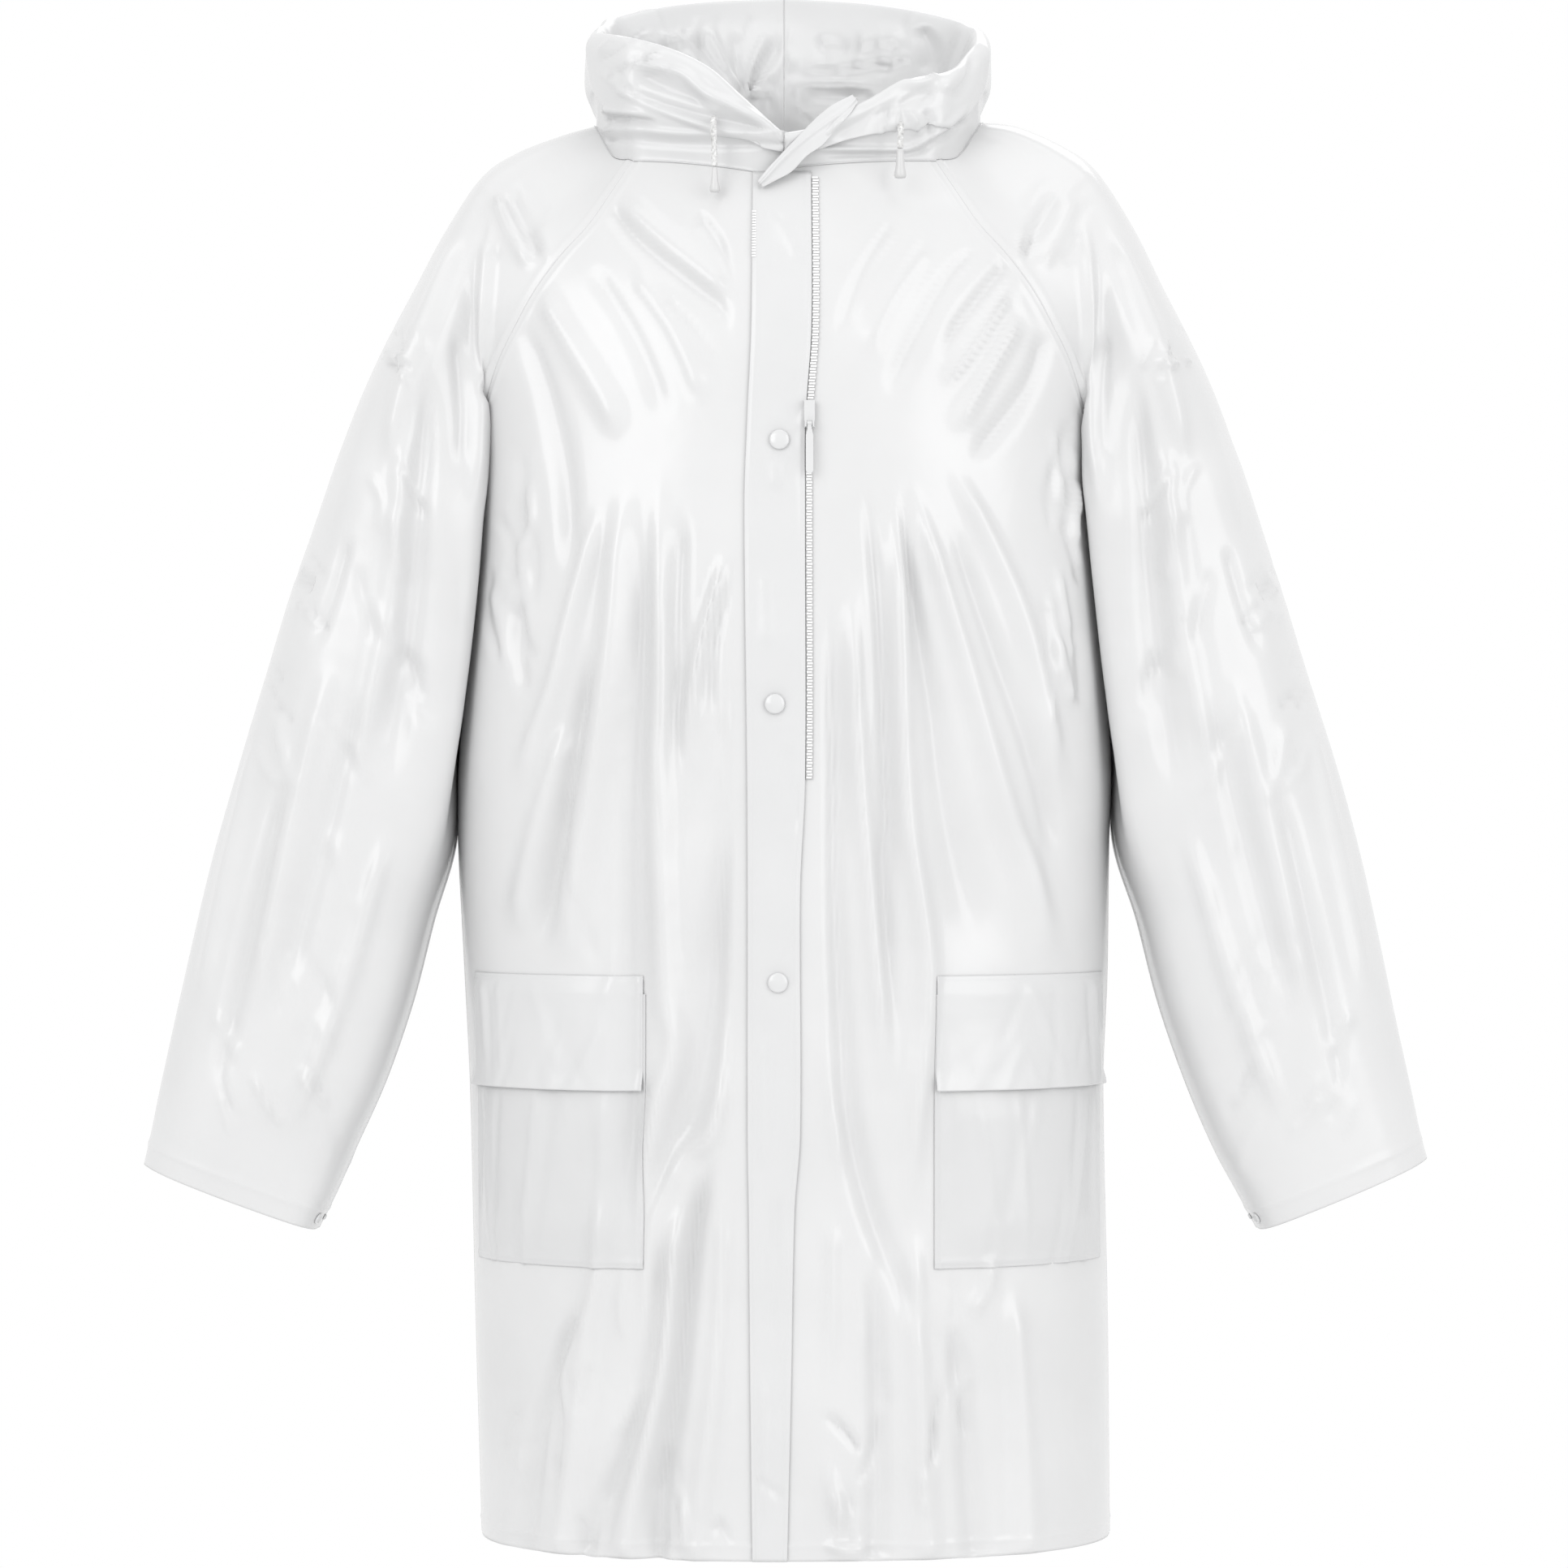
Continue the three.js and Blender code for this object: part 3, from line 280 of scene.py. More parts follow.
def catmull(points, t, closed=False):
    """Points of a smooth curve through points, at shares t of its spans."""
    points = np.asarray(points, float)
    if closed:
        loop = np.concatenate([points[-1:], points, points[:2]])
        spans = len(points)
    else:
        loop = np.concatenate([2 * points[:1] - points[1:2], points, 2 * points[-1:] - points[-2:-1]])
        spans = len(points) - 1
    at = np.clip(np.asarray(t, float), 0, 1) * spans
    i = np.minimum(at.astype(int), spans - 1)
    f = (at - i)[:, None]
    p0, p1, p2, p3 = loop[i], loop[i + 1], loop[i + 2], loop[i + 3]
    m1, m2 = (p2 - p0) / 2, (p3 - p1) / 2
    return (
        (2 * f**3 - 3 * f**2 + 1) * p1 + (f**3 - 2 * f**2 + f) * m1
        + (-2 * f**3 + 3 * f**2) * p2 + (f**3 - f**2) * m2
    )


# Creases: soft troughs (rise below 0) and ridges (rise above 0) along listed lines
def crease_rise(folds, x, z):
    """The lift that a table of creases gives at the places (x, z)."""
    rise = np.zeros(np.shape(x))
    for fold in folds:
        line = catmull(fold["line"], np.linspace(0, 1, 6 * len(fold["line"])))
        lengths = run_lengths(line)
        widest = max(fold["widths"])
        near = (x > line[:, 0].min() - widest) & (x < line[:, 0].max() + widest)
        near &= (z > line[:, 1].min() - widest) & (z < line[:, 1].max() + widest)
        px, pz = x[near], z[near]
        best = np.full(px.shape, 1e9)
        along = np.zeros(px.shape)
        for (a, b), start in zip(zip(line[:-1], line[1:]), lengths[:-1]):
            run = b - a
            size = math.hypot(*run)
            t = np.clip(((px - a[0]) * run[0] + (pz - a[1]) * run[1]) / size**2, 0, 1)
            away = np.hypot(px - a[0] - t * run[0], pz - a[1] - t * run[1])
            closer = away < best
            best = np.where(closer, away, best)
            along = np.where(closer, start + t * size, along)
        share = along / lengths[-1]
        width = np.interp(share, np.linspace(0, 1, len(fold["widths"])), fold["widths"])
        across = np.clip(best / width, 0, 1)
        pointed = (1 - np.clip(np.sqrt(across**2 + 0.012) - 0.11, 0, 1)) ** 2
        bell = 0.5 + 0.5 * np.cos(np.pi * across)
        profile = ((1 - CRISP) * bell + CRISP * pointed) ** fold.get("sharp", 1.0)
        head = smooth(0, fold.get("head", 0.18), share + 0.02)
        tail = smooth(0, fold.get("tail", 0.22), 1.02 - share)
        rise[near] += fold["rise"] * profile * head * tail
    return rise * FOLD_SIZE


def crease(rise, widths, *line, **more):
    """A row of a table: height, half width along the way, points (x, z), and sharp, head or tail."""
    widths = widths if isinstance(widths, tuple) else (widths, widths)
    return {"rise": rise, "widths": widths, "line": line, **more}


def small_creases(seed, zones):
    """Seeded small wrinkles: (x, z, half x, half z, slope in degrees, count, length, width, rise)."""
    rng = np.random.default_rng(seed)
    made = []
    for x, z, wide, high, slope, count, length, width, rise in zones:
        for _ in range(count):
            cx, cz = x + wide * rng.uniform(-1, 1), z + high * rng.uniform(-1, 1)
            turn = math.radians(slope + rng.uniform(-16, 16))
            half = length * rng.uniform(0.35, 0.65)
            dx, dz = half * math.cos(turn), half * math.sin(turn)
            bend = rng.uniform(-0.12, 0.12) * length
            sign = 1 if rng.random() < 0.5 else -1
            middle = (cx - bend * math.sin(turn), cz + bend * math.cos(turn))
            line = [(cx - dx, cz - dz), middle, (cx + dx, cz + dz)]
            size = width * rng.uniform(0.7, 1.4)
            made.append(crease(sign * rise * rng.uniform(0.5, 1.2), size, *line, sharp=1.3))
    return made


FRONT_CREASES = [
    # The wearer's right front, long falls from the chest
    crease(7.5, (13, 16, 18),
           (-104, -245), (-109, -321), (-115, -377), (-123, -435), (-133, -494), (-144, -560)),
    crease(-5, (9, 13, 16, 15),
           (-90, -270), (-94, -368), (-97, -435), (-97, -553), (-99, -667), (-105, -745)),
    crease(6, (9, 13, 14, 13), (-82, -240), (-78, -368), (-80, -435), (-76, -568),
           (-71, -612), (-83, -656), (-98, -736), (-103, -786)),
    crease(-4, (8, 13, 12), (-66, -260), (-69, -321), (-72, -414), (-74, -445), sharp=1.2),
    crease(3, (6, 9), (-37, -286), (-58, -368), (-66, -420)),
    crease(2.5, (7, 10), (-29, -330), (-37, -430), (-33, -480)),
    crease(-6.5, (7, 11, 15, 22, 24, 22, 12), (-27, -322), (-30, -456), (-37, -494), (-45, -553),
           (-51, -598), (-66, -667), (-80, -693), (-92, -730), (-96, -801)),
    crease(5.5, (8, 12, 14, 12),
           (-27, -506), (-31, -582), (-46, -660), (-68, -682), (-87, -730), (-92, -798), sharp=1.2),
    crease(-8, (9, 13, 15, 15), (-48, -677), (-59, -730), (-70, -823), (-81, -897), (-83, -943), tail=0.02),
    crease(5.5, (9, 13, 14), (-68, -712), (-76, -777), (-81, -823), (-100, -916), (-104, -943), tail=0.05),
    crease(-5.5, (9, 13, 15), (-77, -730), (-87, -823), (-120, -916), (-128, -943), tail=0.05),
    crease(4, (9, 14), (-36, -700), (-42, -800), (-54, -900), (-58, -943), tail=0.05),
    crease(-3, 9, (-45, -915), (-34, -928), (-21, -943), tail=0.05),
    crease(5, (9, 13), (-120, -258), (-139, -328), (-151, -376), (-176, -442)),
    crease(-4.5, (9, 13), (-126, -352), (-137, -414), (-151, -494), (-161, -553)),
    crease(4.5, (12, 16), (-140, -400), (-162, -470), (-176, -540)),
    crease(4, (10, 14), (-113, -700), (-128, -800), (-148, -943), tail=0.05),
    crease(-4.5, (10, 16), (-136, -780), (-160, -860), (-172, -943), tail=0.05),
    # Fine wrinkles fanning out from the closing
    crease(2.4, (4, 7, 8, 7), (-30, -280), (-46, -318), (-56, -361), (-58, -410)),
    crease(-2, (4, 6, 7, 6), (-30, -298), (-40, -325), (-47, -352), (-50, -396)),
    crease(2, (4, 6, 6, 6), (-29, -318), (-37, -342), (-40, -378), (-37, -412)),
    # Chest of the wearer's right
    crease(-3.4, (8, 13, 10), (-122, -50), (-97, -82), (-65, -109), (-37, -131), (-29, -147)),
    crease(3.6, (9, 14, 9), (-108, -48), (-87, -71), (-50, -104), (-30, -122)),
    crease(-3, (7, 11, 8), (-59, -62), (-37, -96), (-27, -116)),
    crease(-2.4, (5, 6, 5), (-81, -118), (-50, -150), (-27, -177), sharp=1.4),
    crease(2, (5, 6, 5), (-76, -122), (-46, -154), (-25, -182), sharp=1.4),
    crease(5, (10, 15, 12), (-160, -112), (-138, -150), (-116, -187), (-106, -213)),
    crease(-4, (9, 14, 10), (-174, -132), (-156, -180), (-143, -240), (-140, -300)),
    crease(3, (9, 12), (-100, -100), (-72, -140), (-50, -190)),
    crease(-2.5, (8, 12), (-128, -98), (-98, -146), (-76, -200)),
    # The wearer's left front
    crease(-6, (9, 13, 14, 14, 12),
           (26, -301), (32, -414), (32, -496), (38, -589), (43, -656), (62, -730), (98, -812)),
    crease(3.5, (6, 8, 8), (20, -306), (20, -440), (21, -589), (34, -667), (41, -699)),
    crease(5, (7, 10, 12), (44, -306), (46, -368), (51, -456), (60, -559), (66, -640)),
    crease(-4.5, (6, 10, 10), (54, -245), (63, -337), (68, -456), (66, -496), (72, -600)),
    crease(6, (8, 11, 13, 12), (74, -243), (76, -353), (80, -456), (93, -559), (86, -651), (80, -721)),
    crease(-6, (5, 9, 15, 24, 30), (76, -249), (81, -291), (97, -384), (107, -456), (130, -559)),
    crease(6.5, (6, 12, 15, 16), (85, -246), (118, -360), (145, -456), (160, -496), (178, -561)),
    crease(-4.5, (8, 12, 12), (109, -268), (139, -353), (169, -438), (180, -500)),
    crease(5.5, (9, 13, 14), (111, -232), (157, -333), (181, -444)),
    crease(4.5, (8, 11, 9), (30, -719), (27, -798), (19, -846)),
    crease(-3.5, (5, 7, 5), (16, -846), (34, -853), (51, -872), sharp=1.3),
    crease(4, (7, 10, 8), (19, -856), (28, -890), (43, -925)),
    crease(3, (7, 9), (24, -931), (40, -936), (56, -934)),
    crease(-5, (10, 15), (58, -745), (62, -850), (60, -943), tail=0.05),
    crease(4.5, (10, 15), (84, -730), (88, -840), (94, -943), tail=0.05),
    crease(-5, (10, 16), (112, -790), (120, -870), (126, -943), tail=0.05),
    crease(4.5, (10, 16), (150, -770), (156, -860), (160, -943), tail=0.05),
    # Chest of the wearer's left
    crease(-4, (8, 11, 8), (174, -71), (166, -100), (159, -128)),
    crease(3.6, (8, 11, 8), (190, -52), (166, -103), (157, -131)),
    crease(-4, (7, 11, 9), (182, -62), (151, -96), (119, -134), (103, -161)),
    crease(-3, (8, 12, 9), (129, -84), (103, -116), (67, -185)),
    crease(3, (7, 9, 7), (149, -111), (126, -148), (103, -179), sharp=1.3),
    crease(4, (8, 11), (156, -130), (127, -179), (110, -210)),
    crease(-4, (8, 12, 9), (174, -138), (159, -179), (121, -229)),
    crease(2.6, (9, 12), (96, -80), (70, -120), (52, -160)),
    crease(-2.4, (8, 11), (76, -66), (52, -104), (36, -150)),
    *small_creases(3, [
        (-180, -300, 14, 62, 96, 13, 56, 8, 1.6),
        (-122, -815, 22, 60, 78, 9, 46, 6, 1.7),
        (185, -250, 12, 36, 96, 9, 46, 7, 1.5),
        (182, -360, 12, 62, 96, 7, 56, 8, 1.6),
        (60, -900, 38, 34, 84, 9, 38, 6, 1.7),
        (-60, -905, 34, 30, 80, 8, 38, 6, 1.7),
        (110, -800, 44, 60, 84, 9, 46, 7, 1.6),
        (-150, -890, 30, 44, 84, 7, 46, 7, 1.8),
        (0, -640, 170, 240, 88, 16, 110, 13, 1.0),
    ]),
]

BACK_CREASES = [
    crease(7, (14, 18), (-150, -250), (-140, -430), (-150, -700)),
    crease(-6, (13, 18), (-112, -180), (-104, -420), (-118, -760)),
    crease(8, (13, 18), (-74, -160), (-66, -430), (-72, -940), tail=0.05),
    crease(-7, (11, 17), (-32, -240), (-26, -520), (-38, -943), tail=0.05),
    crease(7, (13, 18), (8, -300), (12, -600), (6, -943), tail=0.05),
    crease(-7, (12, 17), (44, -200), (50, -450), (44, -900), tail=0.05),
    crease(8, (13, 18), (82, -160), (88, -430), (96, -943), tail=0.05),
    crease(-6, (12, 17), (124, -200), (128, -450), (140, -800)),
    crease(6, (12, 17), (158, -280), (160, -500), (166, -820)),
    crease(4, (9, 12), (-128, -30), (-96, -90), (-70, -160)),
    crease(-4, (9, 12), (-108, -10), (-74, -70), (-40, -150)),
    crease(4, (9, 12), (120, -24), (92, -90), (78, -150)),
    crease(-4, (9, 12), (100, -4), (60, -74), (40, -160)),
    crease(3.5, (8, 12), (-60, -20), (-30, -70), (30, -76), (62, -16)),
    *small_creases(8, [
        (-178, -300, 14, 62, 84, 12, 46, 6, 2.0),
        (178, -300, 14, 62, 96, 12, 46, 6, 2.0),
        (0, -880, 170, 50, 88, 22, 46, 7, 1.8),
        (0, -520, 170, 300, 90, 34, 80, 9, 1.5),
        (0, -120, 130, 80, 90, 14, 50, 8, 1.4),
    ]),
]

# Creases of the sleeve on the wearer's right, in front; the other sleeve mirrors them with changes
SLEEVE_CREASES = [
    crease(4.5, (8, 13, 9), (-214, -69), (-241, -141), (-255, -190), (-262, -229)),
    crease(-3, (6, 8, 6), (-217, -141), (-213, -190), (-214, -229)),
    crease(-5, (9, 15, 13), (-234, -165), (-239, -238), (-246, -335), (-262, -440)),
    crease(4.5, (9, 14, 12), (-250, -200), (-256, -270), (-266, -348), (-284, -430)),
    crease(-3, (6, 8), (-287, -274), (-298, -312), (-311, -347)),
    crease(-4, (8, 10), (-326, -297), (-314, -306)),
    crease(4, (7, 10, 8), (-195, -57), (-200, -141), (-202, -214), (-205, -260)),
    crease(3.5, (6, 9, 6), (-193, -45), (-180, -72), (-168, -98)),
    crease(-3, (6, 9, 6), (-183, -42), (-170, -70), (-160, -92)),
    crease(-2.6, (4, 6), (-265, -156), (-254, -163), (-243, -165), sharp=1.3),
    crease(2.6, (4, 6), (-268, -150), (-256, -155), (-244, -156), sharp=1.3),
    crease(-4, (9, 14, 12), (-282, -380), (-306, -480), (-332, -580)),
    crease(4.5, (9, 14, 12), (-300, -360), (-326, -470), (-352, -590)),
    crease(-4, (9, 13, 10), (-330, -430), (-356, -540), (-378, -640)),
    crease(4, (9, 13, 10), (-262, -470), (-292, -570), (-330, -670)),
    crease(3, (8, 12, 9), (-352, -400), (-374, -500), (-392, -590)),
    *small_creases(5, [
        (-250, -160, 14, 26, 118, 6, 26, 4, 1.6),
        (-318, -310, 18, 26, 132, 7, 26, 4.5, 1.8),
        (-345, -380, 16, 26, 132, 6, 26, 4.5, 1.7),
        (-250, -330, 26, 90, 105, 9, 50, 7, 1.7),
        (-340, -640, 36, 40, 112, 10, 40, 6, 1.6),
        (-310, -500, 36, 90, 108, 9, 56, 8, 1.5),
        (-180, -60, 26, 26, 116, 6, 34, 5, 1.4),
    ]),
]


def changed(folds, seed, mirror=False, shift=(0.0, 0.0), amount=6.0):
    """Creases like those of a table, moved a little, for the other sleeve and for hidden sides."""
    rng = np.random.default_rng(seed)
    made = []
    for fold in folds:
        dx, dz = amount * rng.uniform(-1, 1) + shift[0], 2 * amount * rng.uniform(-1, 1) + shift[1]
        line = [((-x if mirror else x) + dx, z + dz) for x, z in fold["line"]]
        made.append({**fold, "line": line, "rise": fold["rise"] * rng.uniform(0.75, 1.15)})
    return made


# Forms of the body, the same as the solids'
TORSO = {
    "z": (14, -5, -22, -44, -66, -106, -140, -190, -265, -320, -372, -430, -478, -566, -640, -786, -943),
    "right": (128, 166, 198, 217, 229, 236, 228, 214, 209, 211, 215.5, 220, 220, 215.6, 212, 208.5, 204),
    "left": (134, 184, 208, 226, 236, 240, 230, 214, 210, 213, 217.5, 221, 219.5, 218.4, 215.6, 218.4, 220),
    "front": (80, 86, 92, 103, 112, 126, 134, 142, 148, 150, 150, 150, 150, 150, 150, 150, 150),
    "back": (86, 98, 106, 116, 123, 132, 136, 139, 141, 142, 143, 144, 144, 145, 145, 146, 148),
    "round": (1.5, 1.5, 1.55, 1.7, 1.9, 2.1, 2.25, 2.4, 2.55, 2.65, 2.65, 2.55, 2.4, 2.3, 2.3, 2.3, 2.3),
}
RAGLAN = {
    "frontZ": (-22, -44, -66, -90, -115, -140, -165, -190, -215, -240),
    "frontX": (99, 113, 127, 148, 166, 180, 192, 200, 205.5, 208),
    "backZ": (8, -18, -44, -72, -100, -128, -156, -184, -212, -240),
    "backX": (84, 98, 114, 134, 152, 169, 184, 196, 203.5, 207.5),
}
LOWER_ROWS = (
    -265, -300, -340, -380, -425, -470, -515, -563, -575,
    -600, -638, -680, -718, -754, -800, -850, -900, -943,
)
FRONT_ROWS = np.array(RAGLAN["frontZ"] + LOWER_ROWS, float)
BACK_ROWS = np.array(RAGLAN["backZ"] + LOWER_ROWS, float)
ROW_IDS = np.arange(len(FRONT_ROWS))


def torso(column, z):
    return hermite(TORSO["z"], TORSO[column], z)


def torso_point(side, angle, z):
    """A point of the body: angle 0 is the middle of the front, pi / 2 the side, pi the back."""
    side, angle, z = np.broadcast_arrays(side, angle, z)
    half = np.where(side < 0, torso("right", z), torso("left", z))
    power = 2 / torso("round", z)
    ahead = angle < np.pi / 2
    depth = np.where(ahead, torso("front", z), torso("back", z))
    x = side * half * np.abs(np.sin(angle)) ** power
    y = np.where(ahead, -1, 1) * depth * np.abs(np.cos(angle)) ** power
    return np.stack([x, y, z], axis=-1)


def torso_angle(side, x, z, ahead):
    half = np.where(np.asarray(side) < 0, torso("right", z), torso("left", z))
    angle = np.arcsin(np.minimum(x / half, 1) ** (torso("round", z) / 2))
    return angle if ahead else np.pi - angle


def seam_angle(side, u, ahead):
    """The angle of a panel's seam edge at row u of its solid's rows."""
    z = np.array(RAGLAN["frontZ" if ahead else "backZ"], float)
    x = np.array(RAGLAN["frontX" if ahead else "backX"], float)
    known = torso_angle(side, x, z, ahead)
    known = np.concatenate([known, np.full(len(LOWER_ROWS), np.pi / 2)])
    angle = hermite(ROW_IDS, known, u)
    return np.minimum(angle, np.pi / 2) if ahead else np.maximum(angle, np.pi / 2)


def row_height(u, ahead, share=1.0):
    z = hermite(ROW_IDS, FRONT_ROWS if ahead else BACK_ROWS, u)
    if ahead:
        dip = 12 * (1 - share) ** 1.5
        z = z - dip * np.interp(u, [0, 1, 2], [1, 0.35, 0])
    return z


HEM_POINTS = (14, 12.4, 11.2, 10, 8.8, 7.6, 5, 2.4, 0)  # heights of the rows of points at the hem
HEM_REACH = 15.5


def fine_rows():
    """Row places of the panels: one for every STEP or so, and close together at the hem's weld."""
    rows = []
    for k, (high, low) in enumerate(zip(FRONT_ROWS[:-1], FRONT_ROWS[1:])):
        count = max(int(round((high - low) / STEP)), 2)
        rows += list(k + np.arange(count) / count)
    last = len(FRONT_ROWS) - 1
    last_row = FRONT_ROWS[-2] - FRONT_ROWS[-1]
    fine = [last - up / last_row for up in HEM_POINTS]
    return np.array([r for r in rows if r < last - HEM_REACH / last_row] + fine)


ROWS = fine_rows()


def across_mm(grid):
    """Distance of each point from the row's first one, along the row."""
    steps = np.linalg.norm(np.diff(grid, axis=1), axis=2)
    return np.concatenate([np.zeros((len(grid), 1)), np.cumsum(steps, axis=1)], axis=1)


def from_edges(grid):
    """Distance of each point from the nearer end of its row, along the row."""
    length = across_mm(grid)
    return np.minimum(length, length[:, -1:] - length)


def weld(distance, at, width=1.9, rise=0.55):
    """A narrow raised line at a distance from an edge."""
    return rise * np.exp(-(((distance - at) / width) ** 2))


def front_base(angle, side, z):
    """A point of the front; an angle below 0 lies on the other side of the middle."""
    point_side = np.where(angle < 0, -side, side)
    return torso_point(point_side, np.abs(angle), z)


def radial(grid):
    """The level direction out of the body at each point of a grid."""
    out = np.stack([grid[..., 0] * 0.5, grid[..., 1], np.zeros(grid.shape[:2])], axis=-1)
    return out / np.maximum(np.linalg.norm(out, axis=2, keepdims=True), 1e-9)


def front_surface(side, angle, z, edge=None):
    """The front with its creases. edge is each point's distance from the seam edge, if it has a weld."""
    grid = front_base(angle, side, z)
    keep = smooth(27, 40, np.abs(grid[..., 0] + 4)) * smooth(0, 26, np.abs(grid[..., 1]))
    if edge is not None:
        keep = keep * np.where(z > UNDERARM_Z, smooth(0, 14, edge), 1)
    grid = grid + radial(grid) * (crease_rise(FRONT_CREASES, grid[..., 0], z) * keep)[..., None]
    lines = weld(z - HEM_Z, HEM_WELD)
    if edge is not None:
        lines = lines + weld(edge, SEAM_WELD)
    return grid + radial(grid) * lines[..., None]


def front_panel(name, side, centre):
    shares = spaced(330, 2.7)
    u, share = np.meshgrid(ROWS, shares, indexing="ij")
    z = row_height(u, True, share)
    start = np.sign(centre * side) * torso_angle(side, np.abs(centre), z, True)
    seam = seam_angle(side, ROWS, True)[:, None]
    angle = start + (seam - start) * share
    flat = front_base(angle, side, z)
    length = across_mm(flat)
    grid = front_surface(side, angle, z, length[:, -1:] - length)
    below = ROWS >= len(RAGLAN["frontZ"])
    grid[below, -1, 1] = -GAP / 2
    return finished(shell(name + "_film", grid, radial(flat), film), name), grid


front_right, right_grid = front_panel("front_right", -1, CENTRE_X - GAP / 2)
front_left, left_grid = front_panel("front_left", 1, CENTRE_X + GAP / 2)


def back_panel():
    shares = spaced(560, 3.6)
    u, share = np.meshgrid(ROWS, shares * 2 - 1, indexing="ij")
    side = np.where(share < 0, -1, 1)
    edge_right, edge_left = (seam_angle(which, ROWS, False)[:, None] for which in (-1, 1))
    edge = np.where(side < 0, edge_right, edge_left)
    angle = np.pi - (np.pi - edge) * np.abs(share)
    z = row_height(u, False)
    flat = torso_point(side, angle, z)
    near = from_edges(flat)
    keep = smooth(0, 34, np.abs(flat[..., 1])) * np.where(z > UNDERARM_Z, smooth(0, 14, near), 1)
    rise = crease_rise(BACK_CREASES, flat[..., 0], z) * keep
    rise = rise + weld(z - HEM_Z, HEM_WELD) + weld(near, SEAM_WELD)
    grid = flat + radial(flat) * rise[..., None]
    below = ROWS >= len(RAGLAN["frontZ"])
    grid[below, 0, 1] = grid[below, -1, 1] = GAP / 2
    return finished(shell("back_film", grid, radial(flat), film), "back"), grid


back, back_grid = back_panel()

# Sleeves: sections above the underarm and rings below it, the same as the solids'
SHOULDER = {
    "out": (126, 150, 181, 205, 230, 249, 266, 279, 289, 298),
    "outZ": (8, 1, -11, -28, -66, -102, -134, -161, -184, -207),
    "leftOut": (132, 158, 190, 212, 237, 256, 272, 285, 295, 303),
    "leftZ": (10, 7, -7, -24, -63, -102, -133, -160, -184, -206),
    "foreX": (122, 145, 171, 196, 213, 222, 233, 243, 249, 254),
    "foreY": (27, 34, 42, 52, 70, 84, 90, 91, 90, 89),
    "foreZ": (-1, -10, -26, -48, -90, -122, -148, -175, -200, -222),
    "creaseX": (112, 132, 153, 180, 199, 203, 205, 208, 211.5, 214),
    "creaseY": (52, 62, 72, 78, 76, 74, 72, 74, 75, 75),
}
ARM = {
    "inX": (210, 211.5, 215, 219.9, 222, 237, 251, 269, 289, 302, 314),
    "inZ": (-266, -305, -355, -412, -476, -530, -585, -638, -683, -713, -737),
    "outX": (306, 319, 334, 351, 370, 386, 399, 411, 421, 427, 432),
    "outZ": (-229, -267, -310, -366, -430, -487, -542, -596, -642, -672, -694),
    "leftIn": (211, 213.4, 217.1, 221.6, 222.8, 239, 253, 271, 290, 306, 319),
    "leftOut": (312, 324, 338, 355, 375, 390, 402, 413, 423, 429, 434),
    "leftZ": (-230, -267, -311, -366, -430, -487, -542, -596, -642, -671, -690),
    "depth": (91, 88, 84, 80, 75, 70, 64, 59, 54, 50, 47),
    "fore": (0, 0, 1, 2, 4, 6, 8, 10, 11, 12, 12),
}
OPEN_ROWS = len(SHOULDER["out"])
FLATTER = 1.2  # how much wider the ring's corners beside the body are
LIP = 16.0  # how far the front edge hangs over the side of the body
LIP_Y = -74
LIP_DROOP = 0.2
CUFF_POINTS = (17, 15.6, 14.4, 13.2, 11.6, 8, 4, 1.6, 0)  # distances of the rows of points from the cuff
CUFF_REACH = 19
CUFF_WELD = 14.4
UNDERARM_WELD = 3.0


def shoulder_section(side, j):
    """Points over the shoulder, from the front seam to the back one."""
    row = {name: column[j] for name, column in SHOULDER.items()}
    out, out_z = (row["out"], row["outZ"]) if side < 0 else (row["leftOut"], row["leftZ"])
    wider = out - row["out"]
    front_z, back_z = RAGLAN["frontZ"][j], RAGLAN["backZ"][j]
    halves = []
    for ahead in (True, False):
        sign = -1 if ahead else 1
        seam_z = front_z if ahead else back_z
        seam = torso_point(side, seam_angle(side, np.array([float(j)]), ahead), seam_z)[0]
        level = 0 if ahead else (back_z - front_z) * 0.4
        fore = np.array([side * (row["foreX"] + wider * 0.6), sign * row["foreY"], row["foreZ"] + level])
        crease_z = seam[2] * 0.8 + fore[2] * 0.2
        fold = np.array([side * (row["creaseX"] + wider * 0.3), sign * row["creaseY"], crease_z])
        quarter = np.array([
            fore[0] + (side * out - fore[0]) * 0.72,
            fore[1] * 0.7,
            fore[2] + (out_z - fore[2]) * 0.65,
        ])
        start = seam + (fold - seam) / np.linalg.norm(fold - seam) * GAP
        halves.append([start, fold, fore, quarter])
    return np.array([*halves[0], [side * out, 0, out_z], *halves[1][::-1]])


def arm_ring(side, j):
    """Eight points round the arm, from the inside over the front."""
    row = {name: column[j] for name, column in ARM.items()}
    near = np.array([side * (row["inX"] if side < 0 else row["leftIn"]), -row["fore"], row["inZ"]])
    out_z = row["outZ"] if side < 0 else row["leftZ"]
    far = np.array([side * (row["outX"] if side < 0 else row["leftOut"]), -row["fore"], out_z])
    centre, reach = (near + far) / 2, (near - far) / 2
    turn = np.arange(8) * math.pi / 4
    # The side that lies against the body is flatter
    corner = np.array([1, FLATTER, 1, 1, 1, 1, 1, FLATTER])
    ring = centre + reach * (np.cos(turn) * corner)[:, None]
    ring[:, 1] -= row["depth"] * np.sin(turn) * corner
    return ring


# Large creases round the sleeve, as in the solid: shares round and along, width and rise
SLEEVE_FALLS = [
    (0.24, 0.20, 0.42, 0.80, 0.05, -4),
    (0.36, 0.30, 0.36, 0.86, 0.06, 4),
    (0.62, 0.66, 0.38, 0.82, 0.06, -4),
    (0.76, 0.80, 0.40, 0.84, 0.06, 4),
]


